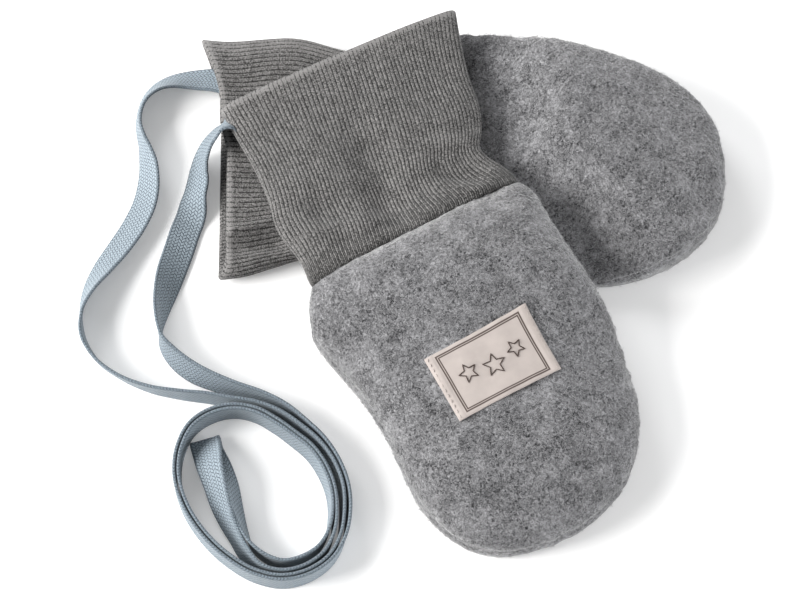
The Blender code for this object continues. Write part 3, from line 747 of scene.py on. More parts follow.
def braid_material(colours):
    """Herringbone braid: stitches in columns a millimetre wide that slant left and right by turns.

    The UV map has millimetres across and along. The rims show dark dashes that are wound like a rope.
    """
    braid = Recipe("flat_braid", 0.72, 0.3, 0.12, 0.4)
    across, along = braid.flat_place()
    inside = braid.math("FRACT", across)
    odd_half = braid.math("FRACT", braid.math("MULTIPLY", braid.math("FLOOR", across), 0.5))
    slant = braid.math("MULTIPLY", inside, braid.total((odd_half, -2.2), start=0.55))
    end_gap = braid.spread(braid.from_half(braid.total((along, 1.0 / 1.15), start=slant)), 0.26, 0.46)
    side_gap = braid.spread(braid.from_half(across), 0.30, 0.5)
    outside = braid.math("ABSOLUTE", across)
    rim = braid.spread(outside, RIM_START, RIM_START + 0.2)
    gap = braid.total((end_gap, 0.65), (side_gap, 0.35))
    gap = braid.math("MULTIPLY", gap, braid.total((rim, -0.85), start=1.0))
    yarn = braid.spread(braid.noise(braid.place(), 2400.0, 2.0, 0.6), 0.3, 0.7)
    strand = braid.from_half(braid.total((along, 1.0 / RIM_PITCH), (outside, 1.7)))
    dash = braid.math("MULTIPLY", braid.spread(strand, 0.16, 0.46), rim)
    tone = braid.total((gap, -1.25), (yarn, 0.50), (rim, -0.42), (dash, -0.45), start=0.80, clamp=True)
    braid.paint(tone, colours.tape_dark, colours.tape_light)
    braid.relief((braid.math("SUBTRACT", 1.0, gap), 0.0003, 0.7))
    return braid.material


def label_material(colours):
    """Woven ribbon with a double border line. The UV map has millimetres from the label's middle."""
    ribbon = Recipe("woven_ribbon", 0.62, 0.35, 0.2, 0.4)
    wide, tall = ribbon.flat_place()
    sides = []
    for place, size, inset in zip((wide, tall), LABEL_SIZE, BORDER_INSET):
        sides.append(ribbon.math("SUBTRACT", ribbon.math("ABSOLUTE", place), size / 2 - inset))
    border = ribbon.math("MAXIMUM", *sides)
    lines = 0.0
    for offset, half in BORDER_LINES:
        away = ribbon.math("ABSOLUTE", ribbon.math("SUBTRACT", border, offset))
        lines = ribbon.math("MAXIMUM", lines, ribbon.spread(away, half, half + 0.14, 1.0, 0.0))
    soft = ribbon.spread(ribbon.noise(ribbon.place(), 240.0), 0.3, 0.7)
    cloth = ribbon.mix(soft, tinted(colours.label_cloth, 0.93), tinted(colours.label_cloth, 1.04))
    ribbon.paint(lines, cloth, colours.label_line)
    weave = ribbon.math("MULTIPLY", ribbon.wave(tall, 0.34), ribbon.wave(wide, 0.42))
    ribbon.relief((weave, 0.00006, 0.5))
    return ribbon.material


def thread_material(name, colour):
    """Thread of one colour with a faint unevenness."""
    thread = Recipe(name, 0.8)
    thread.paint(thread.noise(thread.place(), 900.0), tinted(colour, 0.85), colour)
    return thread.material


# The tape


def coil_points(inward):
    """The outline's first points, each moved to the right of travel, towards the coil's middle."""
    points = np.array(COIL_OUTER)
    heading = unit(np.gradient(points, axis=0))
    right = np.stack([heading[:, 1], -heading[:, 0]], -1)
    count = len(inward)
    return points[:count] + inward[:, None] * right[:count]


def tape_rows(start, strand, leg):
    """One half of the tape: its own way to the coil, two turns in it, and its leg up to the fold.

    It stands nearly on its edge in the coil, with the same face outwards as when it came in.
    """
    upright = 180.0 * round(start[-1][3] / 180.0)
    rows = [start]
    for turn in (0, 1):
        tilt = np.array(OUTWARD[strand + 2 * turn], float)
        inward = np.array(INWARD[strand + 2 * turn]) + TAPE_WIDTH / 2 * np.sin(np.radians(tilt))
        rows.append(np.column_stack([coil_points(inward), np.zeros(len(tilt)), upright - tilt]))
    rows.append(leg)
    return np.concatenate(rows)


def tape_line(rows, fold_side):
    """The half's middle line and the direction of its width, every TAPE_STEP.

    The line is a smooth curve through the rows, as high as its lean puts it when the lower edge touches the
    surface, plus its lift. It ends in a quarter turn round the fold, above or below the other half.
    """
    chord = np.concatenate([[0.0], np.cumsum(np.hypot(*np.diff(rows[:, :2], axis=0).T))])
    at = np.linspace(0.0, chord[-1], round(chord[-1] / TAPE_STEP) + 1)
    x, y, lift, lean = (smooth_curve(chord, column, at) for column in rows.T)
    lean = np.radians(lean)
    middle = (TAPE_WIDTH - TAPE_THICK) / 2 * np.abs(np.cos(lean)) + TAPE_THICK / 2
    line = np.stack([x, y, middle + np.maximum(lift, 0.0) + ABOVE_SURFACE], -1)
    heading = unit(np.gradient(line[:, :2], axis=0))
    flat_right = np.stack([heading[:, 1], -heading[:, 0], np.zeros(len(line))], -1)
    upright = np.array([0.0, 0.0, 1.0])
    wide = upright * np.cos(lean)[:, None] + flat_right * np.sin(lean)[:, None]
    last = np.array([heading[-1, 0], heading[-1, 1], 0.0])
    through = np.cross(wide[-1], last)
    through *= np.sign(through[2])
    angles = np.linspace(0.0, math.pi / 2, FOLD_POINTS + 1)[1:, None]
    bend = FOLD_RADIUS * (last * np.sin(angles) - fold_side * through * (1.0 - np.cos(angles)))
    line = np.concatenate([line, line[-1] + bend])
    wide = np.concatenate([wide, np.repeat(wide[-1:], FOLD_POINTS, axis=0)])
    return line, wide


def tape_mesh(name, line, wide, material):
    """The tape as a ribbon along its line: a thin flat web between two rims that are twisted like a rope.

    A section has the web's points at half its thickness and the rims' on arcs, whose radius swells and
    shrinks along the tape and round the rim, so that the swellings wind round it.
    """
    travel = unit(np.gradient(line, axis=0))
    wide = unit(wide - (wide * travel).sum(1)[:, None] * travel)
    through = np.cross(travel, wide)
    distance = np.concatenate([[0.0], np.cumsum(np.linalg.norm(np.diff(line, axis=0), axis=1))])[:, None]
    rim = TAPE_WIDTH / 2 - ROPE_RADIUS
    angles = np.radians(np.linspace(-ROPE_ARC, ROPE_ARC, ROPE_POINTS))
    web = np.linspace(rim - WEB_INSET, WEB_INSET - rim, WEB_POINTS)
    level = np.zeros((len(line), WEB_POINTS))
    across, up, measure = [], [], []
    for side in (1.0, -1.0):
        wound = np.sin(FULL_TURN * distance / RIM_PITCH + ROPE_WIND * angles * side)
        radius = ROPE_RADIUS * (1.0 - ROPE_SWELL + ROPE_SWELL * wound)
        across += [side * (rim + radius * np.cos(angles)), side * web + level]
        up += [side * radius * np.sin(angles), side * WEB_HALF + level]
        measure += [side * (rim + ROPE_RADIUS * np.cos(angles)), side * web]
    across = np.concatenate(across, 1)[:, :, None]
    up = np.concatenate(up, 1)[:, :, None]
    points = line[:, None] + wide[:, None] * across + through[:, None] * up
    rows, columns = points.shape[:2]
    flat = np.stack(np.broadcast_arrays(np.concatenate(measure), distance), -1).reshape(-1, 2)
    ring = np.arange(columns)
    mirror = (ROPE_POINTS - 1 - ring) % columns
    half = ROPE_POINTS // 2 + ring[: columns // 2 - 1]
    cap = np.stack([half, half + 1, mirror[half + 1], mirror[half]], -1)
    walls = grid_quads(rows, columns, wrap_columns=True)
    faces = np.concatenate([walls, cap[:, ::-1], cap + (rows - 1) * columns])
    return new_mesh(name, points.reshape(-1, 3), faces, material, uv=flat[faces].reshape(-1, 2))


class MITTENS_OT_tape(bpy.types.Operator):
    """Makes the two halves of the braided tape"""

    bl_idname = "mittens.tape"
    bl_label = "Braided tape"

    def execute(self, context):
        material = braid_material(context.scene.mitten_colours)
        over = tape_rows(UPPER_CUFF_TAPE, 0, UPPER_LEG)
        under = tape_rows(LOWER_CUFF_TAPE, 1, LOWER_LEG)
        halves = (
            ("upper_tape_half", over, 1.0, ("upper_cuff_tape", "tape_folded_end")),
            ("lower_tape_half", under, -1.0, ("lower_cuff_tape", "tape_coil")),
        )
        for name, rows, fold_side, nodes in halves:
            line, wide = tape_line(rows, fold_side)
            thing = dress(tape_mesh(name, line, wide, material), nodes)
            path = in_row(np.concatenate([line[::CORD_STRIDE], line[-1:]]))
            path = path.tolist()
        return {"FINISHED"}


# The fleece panels


def seam_pull(form, along, rise, x, y):
    """How far the outer wall is pulled in at its seams.

    It is a bell over the height above the side seam, an uneven part that fades with that height, and a bell
    over the distance from the cuff.
    """
    at_seam = bell(rise / SEAM_REACH)
    uneven = SCALLOP * lumps(x, y, SCALLOP_SIZE, form["fleece_seed"]) * np.exp(-rise / SCALLOP_FADE)
    at_cuff = bell(along / CUFF_SEAM_REACH) * (1.0 - at_seam)
    return SEAM_GROOVE * at_seam + uneven + CUFF_SEAM_PULL * at_cuff


def fleece_relief(form, along, across, x, y):
    """Height of the puckers behind the cuff seam and of the soft lumps, less the dip at that seam."""
    seed = form["fleece_seed"]
    wander, size = PUCKER_WANDER
    wave = np.sin(FULL_TURN * across / PUCKER_PITCH + wander * lumps(x, y, size, seed + 1))
    relief = PUCKER * wave * np.exp(-along / PUCKER_REACH)
    for extra_seed, (height, size) in ((2, SOFT_LUMP), (3, SMALL_LUMP)):
        relief = relief + height * lumps(x, y, size, seed + extra_seed)
    return relief - CUFF_SEAM_DIP * bell(along / CUFF_SEAM_REACH)


def bag_wall(which, side, along, angle, inset):
    """Points of a bag's wall, by distance along and angle round the section.

    Across is the half width times |cos| to a power, and height runs from the side seam to the top, or down to
    a flat underside, by |sin| to a power. The rounded end narrows both as a superellipse. The outer wall is
    pulled in at its seams, towards the bag's middle line, and has relief on top.
    """
    form = FORMS[which]
    lie = form["lie"]
    row = read_table(form["bag"], BAG_COLUMNS, along)
    ends = tip_round(lie, along, inset, lie["tip_power"])
    half = (row["half"] - inset) * ends
    sine = np.abs(np.sin(angle))
    low = row["seam"] + side * SEAM_GAP / 2
    if side > 0:
        across = row["centre"] + half * power(np.cos(angle), SIDE_POWER)
        z = low + (row["high"] - inset - low) * ends * sine**TOP_POWER
    else:
        drop = (low - inset) * tip_round(lie, along, inset, UNDER_TIP_POWER)
        across = row["centre"] + half * power(np.cos(angle), UNDER_SIDE_POWER)
        z = low - drop * np.minimum(1.0, UNDER_FLATTEN * sine**UNDER_POWER)
    x, y = to_plan(lie, along - row["slant"] * (across - row["centre"]), across)
    if inset == 0.0:
        pull = seam_pull(form, along, np.abs(z - low), x, y)
        axis_x, axis_y = to_plan(lie, np.minimum(along, lie["tip_start"]), row["centre"])
        away = np.maximum(np.hypot(axis_x - x, axis_y - y), SAME_POINT)
        pull = np.minimum(pull, away / 2)
        x = x + (axis_x - x) / away * pull
        y = y + (axis_y - y) / away * pull
        if side > 0:
            on_top = sine**RELIEF_FADE * smooth_step(3.0 * ends)
            z = z + fleece_relief(form, along, across, x, y) * on_top
    laid = settle(which, x, y, z, row["high"])
    if which == "lower":
        lost = (1.0 - pressed_share(x, y, row["high"])) * SEAM_GAP / 2
        laid = laid + (lost if side > 0 else -lost * z / row["seam"])
    return np.stack([x, y, laid], axis=-1)


def panel_stations(which, inset):
    """Distances along a panel: closest at the cuff seam and over the rounded end."""
    lie = FORMS[which]["lie"]
    first = SEAM_GAP / 2
    count = round(lie["tip_start"] / ROW_STEP)
    straight = first + (lie["tip_start"] - first) * np.linspace(0.0, 1.0, count) ** 1.15
    quarter = np.linspace(0.0, math.pi / 2, TIP_ROWS + 1)[1:]
    reach = lie["tip"] - inset - lie["tip_start"]
    return np.concatenate([straight, lie["tip_start"] + reach * np.sin(quarter)])


def panel_angles(side):
    """Angles across a panel: even on top, and closer and closer to the side seams underneath."""
    t = np.linspace(-1.0, 1.0, PANEL_COLUMNS)
    if side > 0:
        return math.pi / 2 * (1.0 - t)
    return math.pi / 2 * (1.0 - np.sign(t) * (1.0 - (1.0 - np.abs(t)) ** UNDER_SPREAD))


def panel_layer(which, side, inset):
    """A panel's outer or inner surface as a grid of points."""
    along, angle = np.meshgrid(panel_stations(which, inset), panel_angles(side), indexing="ij")
    return bag_wall(which, side, along, angle, inset)


class MITTENS_OT_panels(bpy.types.Operator):
    """Makes the four fleece panels with their fibres"""

    bl_idname = "mittens.panels"
    bl_label = "Fleece panels"

    def execute(self, context):
        sizes = context.scene.mitten_sizes
        wool = wool_material(context.scene.mitten_colours)
        fibre = fibre_material(context.scene.mitten_colours)
        for which in ("lower", "upper"):
            for side, word in ((1, "back"), (-1, "front")):
                name = f"{which}_{word}_fleece"
                layers = [panel_layer(which, side, inset) for inset in (0.0, sizes.fleece_wall / MM)]
                panel = wall_mesh(name, *layers, wool, both_ends=False)
                dress(panel, (f"{which}_mitten_{word}_panel",))
                fuzz = fibre_mesh(f"{name}_fibres", which, side, sizes, fibre)
                dress(fuzz)
        return {"FINISHED"}


def on_label(x, y, margin):
    """Whether plan points lie under the label, or within a margin of it."""
    wide, tall = from_plan(LABEL_LIE, x, y)
    return (np.abs(wide) < LABEL_SIZE[0] / 2 + margin) & (np.abs(tall) < LABEL_SIZE[1] / 2 + margin)


def fibre_roots(draw, which, side):
    """Roots scattered over a panel evenly by area, and the way out of the fleece at each.

    None lies under the label, nor low on an underside.
    """
    grid = panel_layer(which, side, 0.0)
    corner = grid[:-1, :-1].reshape(-1, 3)
    one = grid[1:, :-1].reshape(-1, 3) - corner
    two = grid[:-1, 1:].reshape(-1, 3) - corner
    normal = np.cross(one, two)
    area = np.linalg.norm(normal, axis=1)
    keep = np.flatnonzero(area > 1e-4)
    count = FIBRE_COUNTS[side]
    chosen = draw.choice(keep, count, p=area[keep] / area[keep].sum())
    share = draw.uniform(0.0, 1.0, (2, count, 1))
    root = corner[chosen] + one[chosen] * share[0] + two[chosen] * share[1]
    normal = normal[chosen] / area[chosen][:, None]
    normal *= np.sign(normal[:, 2:3] * side + 1e-9)
    clear = root[:, 2] > (FIBRE_FLOOR if side < 0 else 0.0)
    if which == "upper" and side > 0:
        clear &= ~on_label(root[:, 0], root[:, 1], LABEL_CLEAR)
    return root[clear], normal[clear]


def fibre_mesh(name, which, side, sizes, material):
    """Curly wool fibres: three-sided, bent once, from a root in the fleece to a point.

    A fibre leaves along the surface in a random direction, turns sideways halfway and rises a little. Its
    shade is drawn at random, mostly near the middle.
    """
    draw = np.random.default_rng(FORMS[which]["fibre_seed"] + side)
    root, normal = fibre_roots(draw, which, side)
    count = len(root)
    toward = unit(np.cross(normal, draw.normal(size=(count, 3))))
    sideways = np.cross(normal, toward)
    bend = np.radians(draw.uniform(*FIBRE_BEND, (count, 1))) * draw.choice([-1.0, 1.0], (count, 1))
    later = toward * np.cos(bend) + sideways * np.sin(bend)
    half = sizes.fibre_length / MM * draw.uniform(*FIBRE_LENGTHS, (count, 1)) / 2
    rise = draw.uniform(*FIBRE_RISE, (count, 1))
    knee = root + toward * half + normal * rise * FIBRE_LIFT
    tip = knee + later * half + normal * (rise - FIBRE_DROOP) * FIBRE_LIFT
    root = root - normal * FIBRE_ROOT_DEPTH
    radius = sizes.fibre_radius / MM * draw.uniform(*FIBRE_RADII, (count, 1))
    rings = []
    for place, way, thick in ((root, toward, 1.0), (knee, toward + later, 0.9)):
        beside = np.cross(normal, unit(way))
        for angle in FULL_TURN * np.arange(3) / 3:
            rings.append(place + radius * thick * (beside * math.cos(angle) + normal * math.sin(angle)))
    points = np.stack([*rings, tip], 1)
    points[:, :, 2] = np.maximum(points[:, :, 2], ABOVE_SURFACE)
    start = FIBRE_POINTS * np.arange(count)[:, None, None]
    k = np.arange(3)
    n = (k + 1) % 3
    lower = np.stack([k, n, 3 + n], -1)
    upper = np.stack([k, 3 + n, 3 + k], -1)
    point = np.stack([3 + k, 3 + n, np.full(3, FIBRE_POINTS - 1)], -1)
    root_cap = np.array([[2, 1, 0]])
    faces = (start + np.concatenate([lower, upper, point, root_cap])).reshape(-1, 3)
    shade = np.repeat(np.clip(draw.normal(*FIBRE_SHADE, count), 0.0, 1.0), FIBRE_POINTS)
    return new_mesh(name, points.reshape(-1, 3), faces, material, values=shade)


# The rib-knit cuffs


def fold_relief(x, y, folds):
    """Sum of soft troughs: each is a bell across its line, and fades out towards both ends."""
    past, fade = FOLD_ENDS
    total = 0.0
    for x0, y0, x1, y1, width, depth in folds:
        length = math.hypot(x1 - x0, y1 - y0)
        run = ((x - x0) * (x1 - x0) + (y - y0) * (y1 - y0)) / length
        off = ((x - x0) * (y1 - y0) - (y - y0) * (x1 - x0)) / length
        ends = ramp(run, -past, fade) * ramp(length - run, -past, fade)
        total = total - depth * bell(off / width) * ends
    return total


def rib_drift(which, row, along, share):
    """How far ribs lie sideways round the cuff from even places.

    They sway a little. Where the cuff's middle moves sideways they stay behind it, so that they run straight,
    and near the seam they lean to the cuff's side a little. The lower cuff's are pulled wide on its far half.
    """
    form = FORMS[which]
    size, waves, length = RIB_SWAY
    lean, reach = RIB_LEAN
    middle = read_table(form["cuff"], CUFF_COLUMNS, np.array(RIBS_EVEN_AT))["centre"]
    near = ramp(along, -reach, reach)
    sway = size * np.sin(FULL_TURN * (share * waves + along / length)) * (1.0 - near)
    stay = (row["centre"] - middle) * np.sin(FULL_TURN * share)
    spare = form["rib_spare"] * np.sin(FULL_TURN * (share - RIB_SPARE_TURN))
    return sway + stay + spare - lean * near * (1.0 + np.cos(FULL_TURN * share))


def cuff_section(which, row, along, inset):
    """Across and height of a ring's points: a flattened superellipse whose points are evenly spaced.

    The outside is pulled in at the seam and a little fuller above it.
    """
    height, place, reach = CUFF_BULGE
    extra = height * bell((along - place) / reach) - CUFF_SEAM_PULL * bell(along / CUFF_SEAM_REACH)
    extra = extra * (inset == 0.0)
    angle = np.linspace(0.0, FULL_TURN, CUFF_FINE_STEPS + 1)
    wide = (row["half"] - inset + extra / 2) * power(np.cos(angle), CUFF_SIDE_POWER)
    swell = power(np.sin(angle), CUFF_TOP_POWER)
    rise = row["high"] - inset - row["side"] + extra
    under = (row["side"] - inset) * np.maximum(-1.0, UNDER_FLATTEN * swell)
    tall = row["side"] + np.where(swell > 0.0, rise * swell, under)
    length = np.concatenate([[0.0], np.cumsum(np.hypot(np.diff(wide), np.diff(tall)))])
    count = RIB_COUNT * POINTS_PER_RIB
    share = np.arange(count) / count
    places = share * length[-1] + rib_drift(which, row, along, share)
    return [np.interp(places, length, values, period=length[-1]) for values in (wide, tall)]


def rib_grooves(along, first, across, z, depth):
    """Across and height of a ring's points after each groove, a bell, has moved them into the wall.

    Grooves are shallower near the seam, and grow from the folded edge.
    """
    closed = np.stack([np.append(across, across[0]), np.append(z, z[0])], 1)
    step = unit(np.gradient(closed, axis=0)[:-1])
    phase = np.arange(len(across)) % POINTS_PER_RIB / POINTS_PER_RIB
    loss, reach = GROOVE_LOSS
    least, start, length = LIP_GROOVE
    depth = depth * bell((phase - 0.5) / GROOVE_WIDTH)
    depth = depth * (1.0 - loss * ramp(along, -reach, reach))
    depth = depth * (least + (1.0 - least) * ramp(along - first, start, length))
    return across - depth * step[:, 1], z + depth * step[:, 0]


def cuff_ring(which, along, inset, sizes):
    """One ring of a cuff, as points.

    Its opening slants, its corner and the lower cuff's top layer are set back, the lower cuff's far side is
    wavy, and folds and soft lumps lie on top.
    """
    form = FORMS[which]
    row = read_table(form["cuff"], CUFF_COLUMNS, np.array(along))
    across, z = cuff_section(which, row, along, inset)
    if inset < GROOVE_INSET:
        across, z = rib_grooves(along, form["cuff"][0][0], across, z, sizes.rib_depth / MM)
    on_top = ramp(z, row["side"], TOP_SHARE * (row["high"] - row["side"]))
    corner_share = np.clip((across / row["half"] - CORNER_FROM) / (1.0 - CORNER_FROM), 0.0, 1.0)
    back = along - row["slant"] * across - row["corner"] * corner_share**CORNER_POWER
    if which == "lower":
        set_back = ramp(-along, *SET_BACK_ALONG) * on_top * ramp(-across, *SET_BACK_ACROSS)
        back = back + TOP_SET_BACK * set_back
    x, y = to_plan(form["lie"], back, across + row["centre"])
    if which == "lower":
        height, start, length = SIDE_WAVE
        far_side = ramp(y, *FAR_SIDE[:2]) * ramp(-along, *FAR_SIDE[2:])
        y = y + height * np.sin(FULL_TURN * (x - start) / length) * far_side
    laid = settle(which, x, y, z, row["high"])
    relief = fold_relief(x, y, form["folds"])
    relief = relief + CUFF_LUMP[0] * lumps(x, y, CUFF_LUMP[1], form["knit_seed"])
    if inset > 0.0:
        relief = np.minimum(relief, INNER_RELIEF)
    relief = relief * on_top * (1.0 - bell(along / CUFF_SEAM_REACH))
    return np.stack([x, y, laid + relief], axis=-1)


def cuff_rows(which, wall):
    """Distance along and inset of each ring: up the outside, round the folded edge, down the inside."""
    first = FORMS[which]["cuff"][0][0]
    t = np.linspace(0.0, 1.0, CUFF_ROWS)
    outside = -SEAM_GAP / 2 + (first + SEAM_GAP / 2) * (0.55 * t + 0.45 * t**1.8)
    rows = [(along, 0.0, along) for along in outside]
    for angle in np.linspace(0.0, math.pi, LIP_ROWS + 2)[1:-1]:
        inset = wall / 2 * (1.0 - math.cos(angle))
        rows.append((first, inset, first - wall / 2 * math.sin(angle)))
    inside = np.linspace(first, -SEAM_GAP / 2, CUFF_INNER_ROWS)
    return rows + [(along, wall, along) for along in inside]


def cuff_mesh(name, which, sizes, material):
    """A cuff as one closed tube wall, a grid that wraps both ways, and its outside as a grid of points.

    The UV map counts ribs, and millimetres along. The shade value is a bell over the folded edge, which is
    lighter there, and high along the lower cuff's far side, as painted light.
    """
    rings = []
    lengths = []
    travelled = 0.0
    count = RIB_COUNT * POINTS_PER_RIB
    turn = math.radians(FORMS[which]["lie"]["turn"])
    outward = np.array([math.cos(turn), math.sin(turn), 0.0])
    for along, inset, place in cuff_rows(which, sizes.rib_wall / MM):
        ring = cuff_ring(which, along, inset, sizes) + outward * (place - along)
        if rings:
            travelled += float(np.median(np.linalg.norm(ring - rings[-1], axis=1)))
        rings.append(ring)
        lengths.append(travelled)
    faces = grid_quads(len(rings), count, wrap_rows=True, wrap_columns=True)
    column = faces % count
    row = faces // count
    ribs = column / POINTS_PER_RIB
    ribs[:, 1:3] = (column[:, :1] + 1) / POINTS_PER_RIB
    uv = np.stack([ribs, np.array(lengths)[row]], -1)
    from_edge = np.array(lengths) - lengths[CUFF_ROWS - 1]
    shade = np.repeat(LIP_LIGHT[0] * bell(from_edge / LIP_LIGHT[1]), count)
    # painted light along the lower cuff's far side
    if which == "lower":
        light, start, width = FAR_SIDE_PAINTED_LIGHT
        edge = np.stack([ring[:, 1].max() - ring[:, 1] for ring in rings]).ravel()
        shade = np.maximum(shade, light * smooth_step(start - edge / width))
    uv = uv[:, ::-1].reshape(-1, 2)
    thing = new_mesh(name, np.concatenate(rings), faces[:, ::-1], material, uv=uv, values=shade)
    return thing, np.stack(rings)[:CUFF_ROWS]


class MITTENS_OT_cuffs(bpy.types.Operator):
    """Makes the two rib-knit cuffs"""

    bl_idname = "mittens.cuffs"
    bl_label = "Rib-knit cuffs"

    def execute(self, context):
        sizes = context.scene.mitten_sizes
        material = rib_material(context.scene.mitten_colours)
        for which in ("lower", "upper"):
            cuff, outside = cuff_mesh(f"{which}_rib_cuff", which, sizes, material)
            dress(cuff, (f"{which}_mitten_cuff",))
        return {"FINISHED"}


# The label


def panel_top(x, y):
    """Height of the upper mitten's back panel over plan points of its straight part, without its lumps."""
    along, across = from_plan(UPPER_LIE, x, y)
    row = read_table(UPPER_BAG, BAG_COLUMNS, along)
    ends = tip_round(UPPER_LIE, along, 0.0, UPPER_LIE["tip_power"])
    share = np.clip((across - row["centre"]) / (row["half"] * ends), -1.0, 1.0)
    angle = np.arccos(power(share, 1.0 / SIDE_POWER))
    low = row["seam"] + SEAM_GAP / 2
    return low + (row["high"] - low) * ends * np.sin(angle) ** TOP_POWER + bed_height(y)


def label_place(wide, tall, lift):
    """Points over the panel, by millimetres from the label's middle and height over the panel."""
    x, y = to_plan(LABEL_LIE, wide, tall)
    return np.stack([x, y, panel_top(x, y) + LABEL_BASE + lift], -1)


def label_lumps(wide, tall):
    """The label's soft unevenness, which the stars on it share."""
    return LABEL_LUMP[0] * lumps(wide, tall, LABEL_LUMP[1], 51)


def label_mesh(name, thick, material):
    """The label as a thin wall over the panel, thinner at its edges, with folded ends and wavy edges."""
    a, b = (np.linspace(-0.5, 0.5, steps) * size for steps, size in zip(LABEL_GRID, LABEL_SIZE))
    wide, tall = np.meshgrid(a, b, indexing="ij")
    from_edge = np.minimum(LABEL_SIZE[0] / 2 - np.abs(wide), LABEL_SIZE[1] / 2 - np.abs(tall))
    soft_edge = LABEL_ROUND[0] * np.exp(-from_edge / LABEL_ROUND[1])
    hem = HEM[2] * ramp(np.abs(wide) - LABEL_SIZE[0] / 2, -HEM[0], HEM[1])
    height, pace, reach = LABEL_WAVE
    wave = height * np.sin(pace * wide + 1.0) * np.exp(-from_edge / reach)
    top = label_place(wide, tall, thick - soft_edge + hem + wave + label_lumps(wide, tall))
    under = label_place(wide, tall, wave)
    return wall_mesh(name, top, under, material, flat=np.stack([wide, tall], -1))


class MITTENS_OT_label(bpy.types.Operator):
    bl_idname = "mittens.label"
    bl_label = "Woven label"

    def execute(self, context):
        colours = context.scene.mitten_colours
        thick = context.scene.mitten_sizes.label_thickness / MM
        label = label_mesh("woven_label", thick, label_material(colours))
        dress(label, ("label",))
        thread = thread_material("label_thread", colours.label_line)
        stars = dress(star_mesh("label_stars", thick, thread))
        pale = thread_material("label_stitching", colours.label_cloth)
        stitches = dress(stitch_mesh("label_stitches", thick, pale))
        return {"FINISHED"}


def thread_mesh(name, lines, radius, closed, material):
    """Threads of four sides along lines of points, each line an array of the same length."""
    count, steps = lines.shape[:2]
    if closed:
        travel = unit(np.roll(lines, -1, axis=1) - np.roll(lines, 1, axis=1))
    else:
        travel = unit(np.gradient(lines, axis=1))
    beside = unit(np.cross(travel, np.array([0.0, 0.0, 1.0])))
    above = np.cross(beside, travel)
    angles = np.arange(4) * math.pi / 2
    ring = [lines + radius * (beside * math.cos(t) + above * math.sin(t)) for t in angles]
    points = np.stack(ring, 2)
    one = grid_quads(steps, 4, wrap_rows=closed, wrap_columns=True)
    if not closed:
        last = 4 * (steps - 1)
        one = np.concatenate([one, [[3, 2, 1, 0], [last, last + 1, last + 2, last + 3]]])
    faces = (one[None] + (4 * steps * np.arange(count))[:, None, None]).reshape(-1, 4)
    return new_mesh(name, points.reshape(-1, 3), faces[:, ::-1], material)


def star_mesh(name, thick, material):
    """Outlined five-pointed stars in a row: straight lines between corners on a large and a small circle."""
    steps = np.arange(2 * STAR_POINTS + 1)
    at = np.linspace(0.0, 2 * STAR_POINTS, 2 * STAR_POINTS * STAR_STEPS + 1)[:-1]
    lines = []
    for x, y, radius, turn in STARS:
        corners = np.radians(turn + 90.0 + 180.0 / STAR_POINTS * steps)
        reach = np.where(steps % 2 == 0, radius, STAR_WAIST * radius)
        wide = x + np.interp(at, steps, reach * np.cos(corners))
        tall = y + np.interp(at, steps, reach * np.sin(corners))
        lines.append(label_place(wide, tall, thick + STAR_LIFT + label_lumps(wide, tall)))
    return thread_mesh(name, np.stack(lines), STAR_THREAD, True, material)


def stitch_mesh(name, thick, material):
    """Short stitches that hold the label's two short ends."""
    along = np.linspace(-STITCH_HALF, STITCH_HALF, 4)
    in_short, in_long = STITCH_INSET
    lines = []
    for side in (-1.0, 1.0):
        for tall in np.linspace(-0.5, 0.5, STITCHES) * (LABEL_SIZE[1] - 2.0 * in_long):
            wide = side * (LABEL_SIZE[0] / 2 - in_short) + along / 4
            lines.append(label_place(wide, tall + along, thick + STITCH_LIFT - along**2 / 2))
    return thread_mesh(name, np.stack(lines), STITCH_THREAD, False, material)


# Camera and stage


class MITTENS_OT_camera(bpy.types.Operator):
    """Adds the camera and makes it the scene's own"""

    bl_idname = "mittens.camera"
    bl_label = "Camera"

    def execute(self, context):
        data = bpy.data.cameras.new("camera")
        data.sensor_width = SENSOR
        data.lens = SENSOR * CAMERA_DISTANCE / CAMERA_WIDTH
        data.clip_end = 20.0
        camera = bpy.data.objects.new("camera", data)
        elevation = math.radians(CAMERA_ELEVATION)
        away = np.array([0.0, -math.cos(elevation), math.sin(elevation)]) * CAMERA_DISTANCE
        camera.location = in_row(np.array(CAMERA_TARGET) + away)
        camera.rotation_euler = (math.pi / 2 - elevation, 0.0, 0.0)
        context.scene.collection.objects.link(camera)
        context.scene.camera = camera
        return {"FINISHED"}


def area_light(context, name, place, size, power_watts, tint):
    """A square light that faces the middle of the mittens."""
    data = bpy.data.lights.new(name, "AREA")
    data.shape = "SQUARE"
    data.size = size
    data.energy = power_watts
    data.color = tint
    light = bpy.data.objects.new(name, data)
    light.location = place
    x, y, z = place
    light.rotation_euler = (math.atan2(math.hypot(x, y), z), 0.0, math.atan2(-y, -x) - math.pi / 2)
    context.scene.collection.objects.link(light)


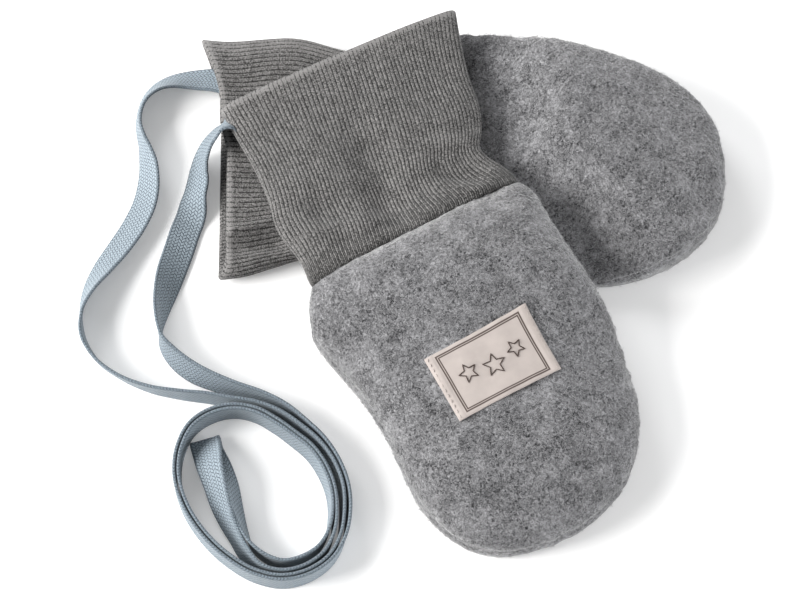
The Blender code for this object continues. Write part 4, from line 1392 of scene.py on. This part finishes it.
class MITTENS_OT_stage(bpy.types.Operator):
    """Adds the pale floor and soft studio light"""

    bl_idname = "mittens.stage"
    bl_label = "Stage"

    def execute(self, context):
        pale = (*context.scene.mitten_colours.floor, 1.0)
        surface = Recipe("pale_floor", 0.9, 0.1)
        surface.put("Base Color", pale)
        surface.put("Emission Color", pale)
        surface.put("Emission Strength", FLOOR_GLOW)
        corners = FLOOR_HALF * np.array([(-1, -1, 0), (1, -1, 0), (1, 1, 0), (-1, 1, 0)])
        new_mesh("floor", corners, np.array([[0, 1, 2, 3]]), surface.material)
        for light in LIGHTS:
            area_light(context, *light)
        world = bpy.data.worlds.new("studio")
        world.use_nodes = True
        background = world.node_tree.nodes["Background"]
        background.inputs["Color"].default_value = (1.0, 1.0, 1.0, 1.0)
        background.inputs["Strength"].default_value = STUDIO_LIGHT
        context.scene.world = world
        context.scene.view_settings.view_transform = "Standard"
        return {"FINISHED"}


class MITTENS_PT_build(bpy.types.Panel):
    """Lists the steps that make the mittens"""

    bl_idname = "MITTENS_PT_build"
    bl_label = "Baby Mittens"
    bl_space_type = "VIEW_3D"
    bl_region_type = "UI"
    bl_category = "Mittens"

    def draw(self, context):
        column = self.layout.column()
        for step in STEPS:
            column.operator(step.bl_idname)
        for group in (context.scene.mitten_sizes, context.scene.mitten_colours):
            for key in group.bl_rna.properties.keys():
                if key not in ("rna_type", "name"):
                    column.prop(group, key)


STEPS = (
    MITTENS_OT_camera,
    MITTENS_OT_tape,
    MITTENS_OT_panels,
    MITTENS_OT_cuffs,
    MITTENS_OT_label,
    MITTENS_OT_stage,
)
CLASSES = (MittenSizes, MittenColours, *STEPS, MITTENS_PT_build)


def register():
    for kind in CLASSES:
        bpy.utils.register_class(kind)
    bpy.types.Scene.mitten_sizes = bpy.props.PointerProperty(type=MittenSizes)
    bpy.types.Scene.mitten_colours = bpy.props.PointerProperty(type=MittenColours)


def unregister():
    del bpy.types.Scene.mitten_colours
    del bpy.types.Scene.mitten_sizes
    for kind in reversed(CLASSES):
        bpy.utils.unregister_class(kind)


def main():
    """Makes every piece."""
    register()
    bpy.ops.mittens.camera()
    bpy.ops.mittens.tape()
    bpy.ops.mittens.panels()
    bpy.ops.mittens.cuffs()
    bpy.ops.mittens.label()
    bpy.ops.mittens.stage()


if __name__ == "__main__":
    main()
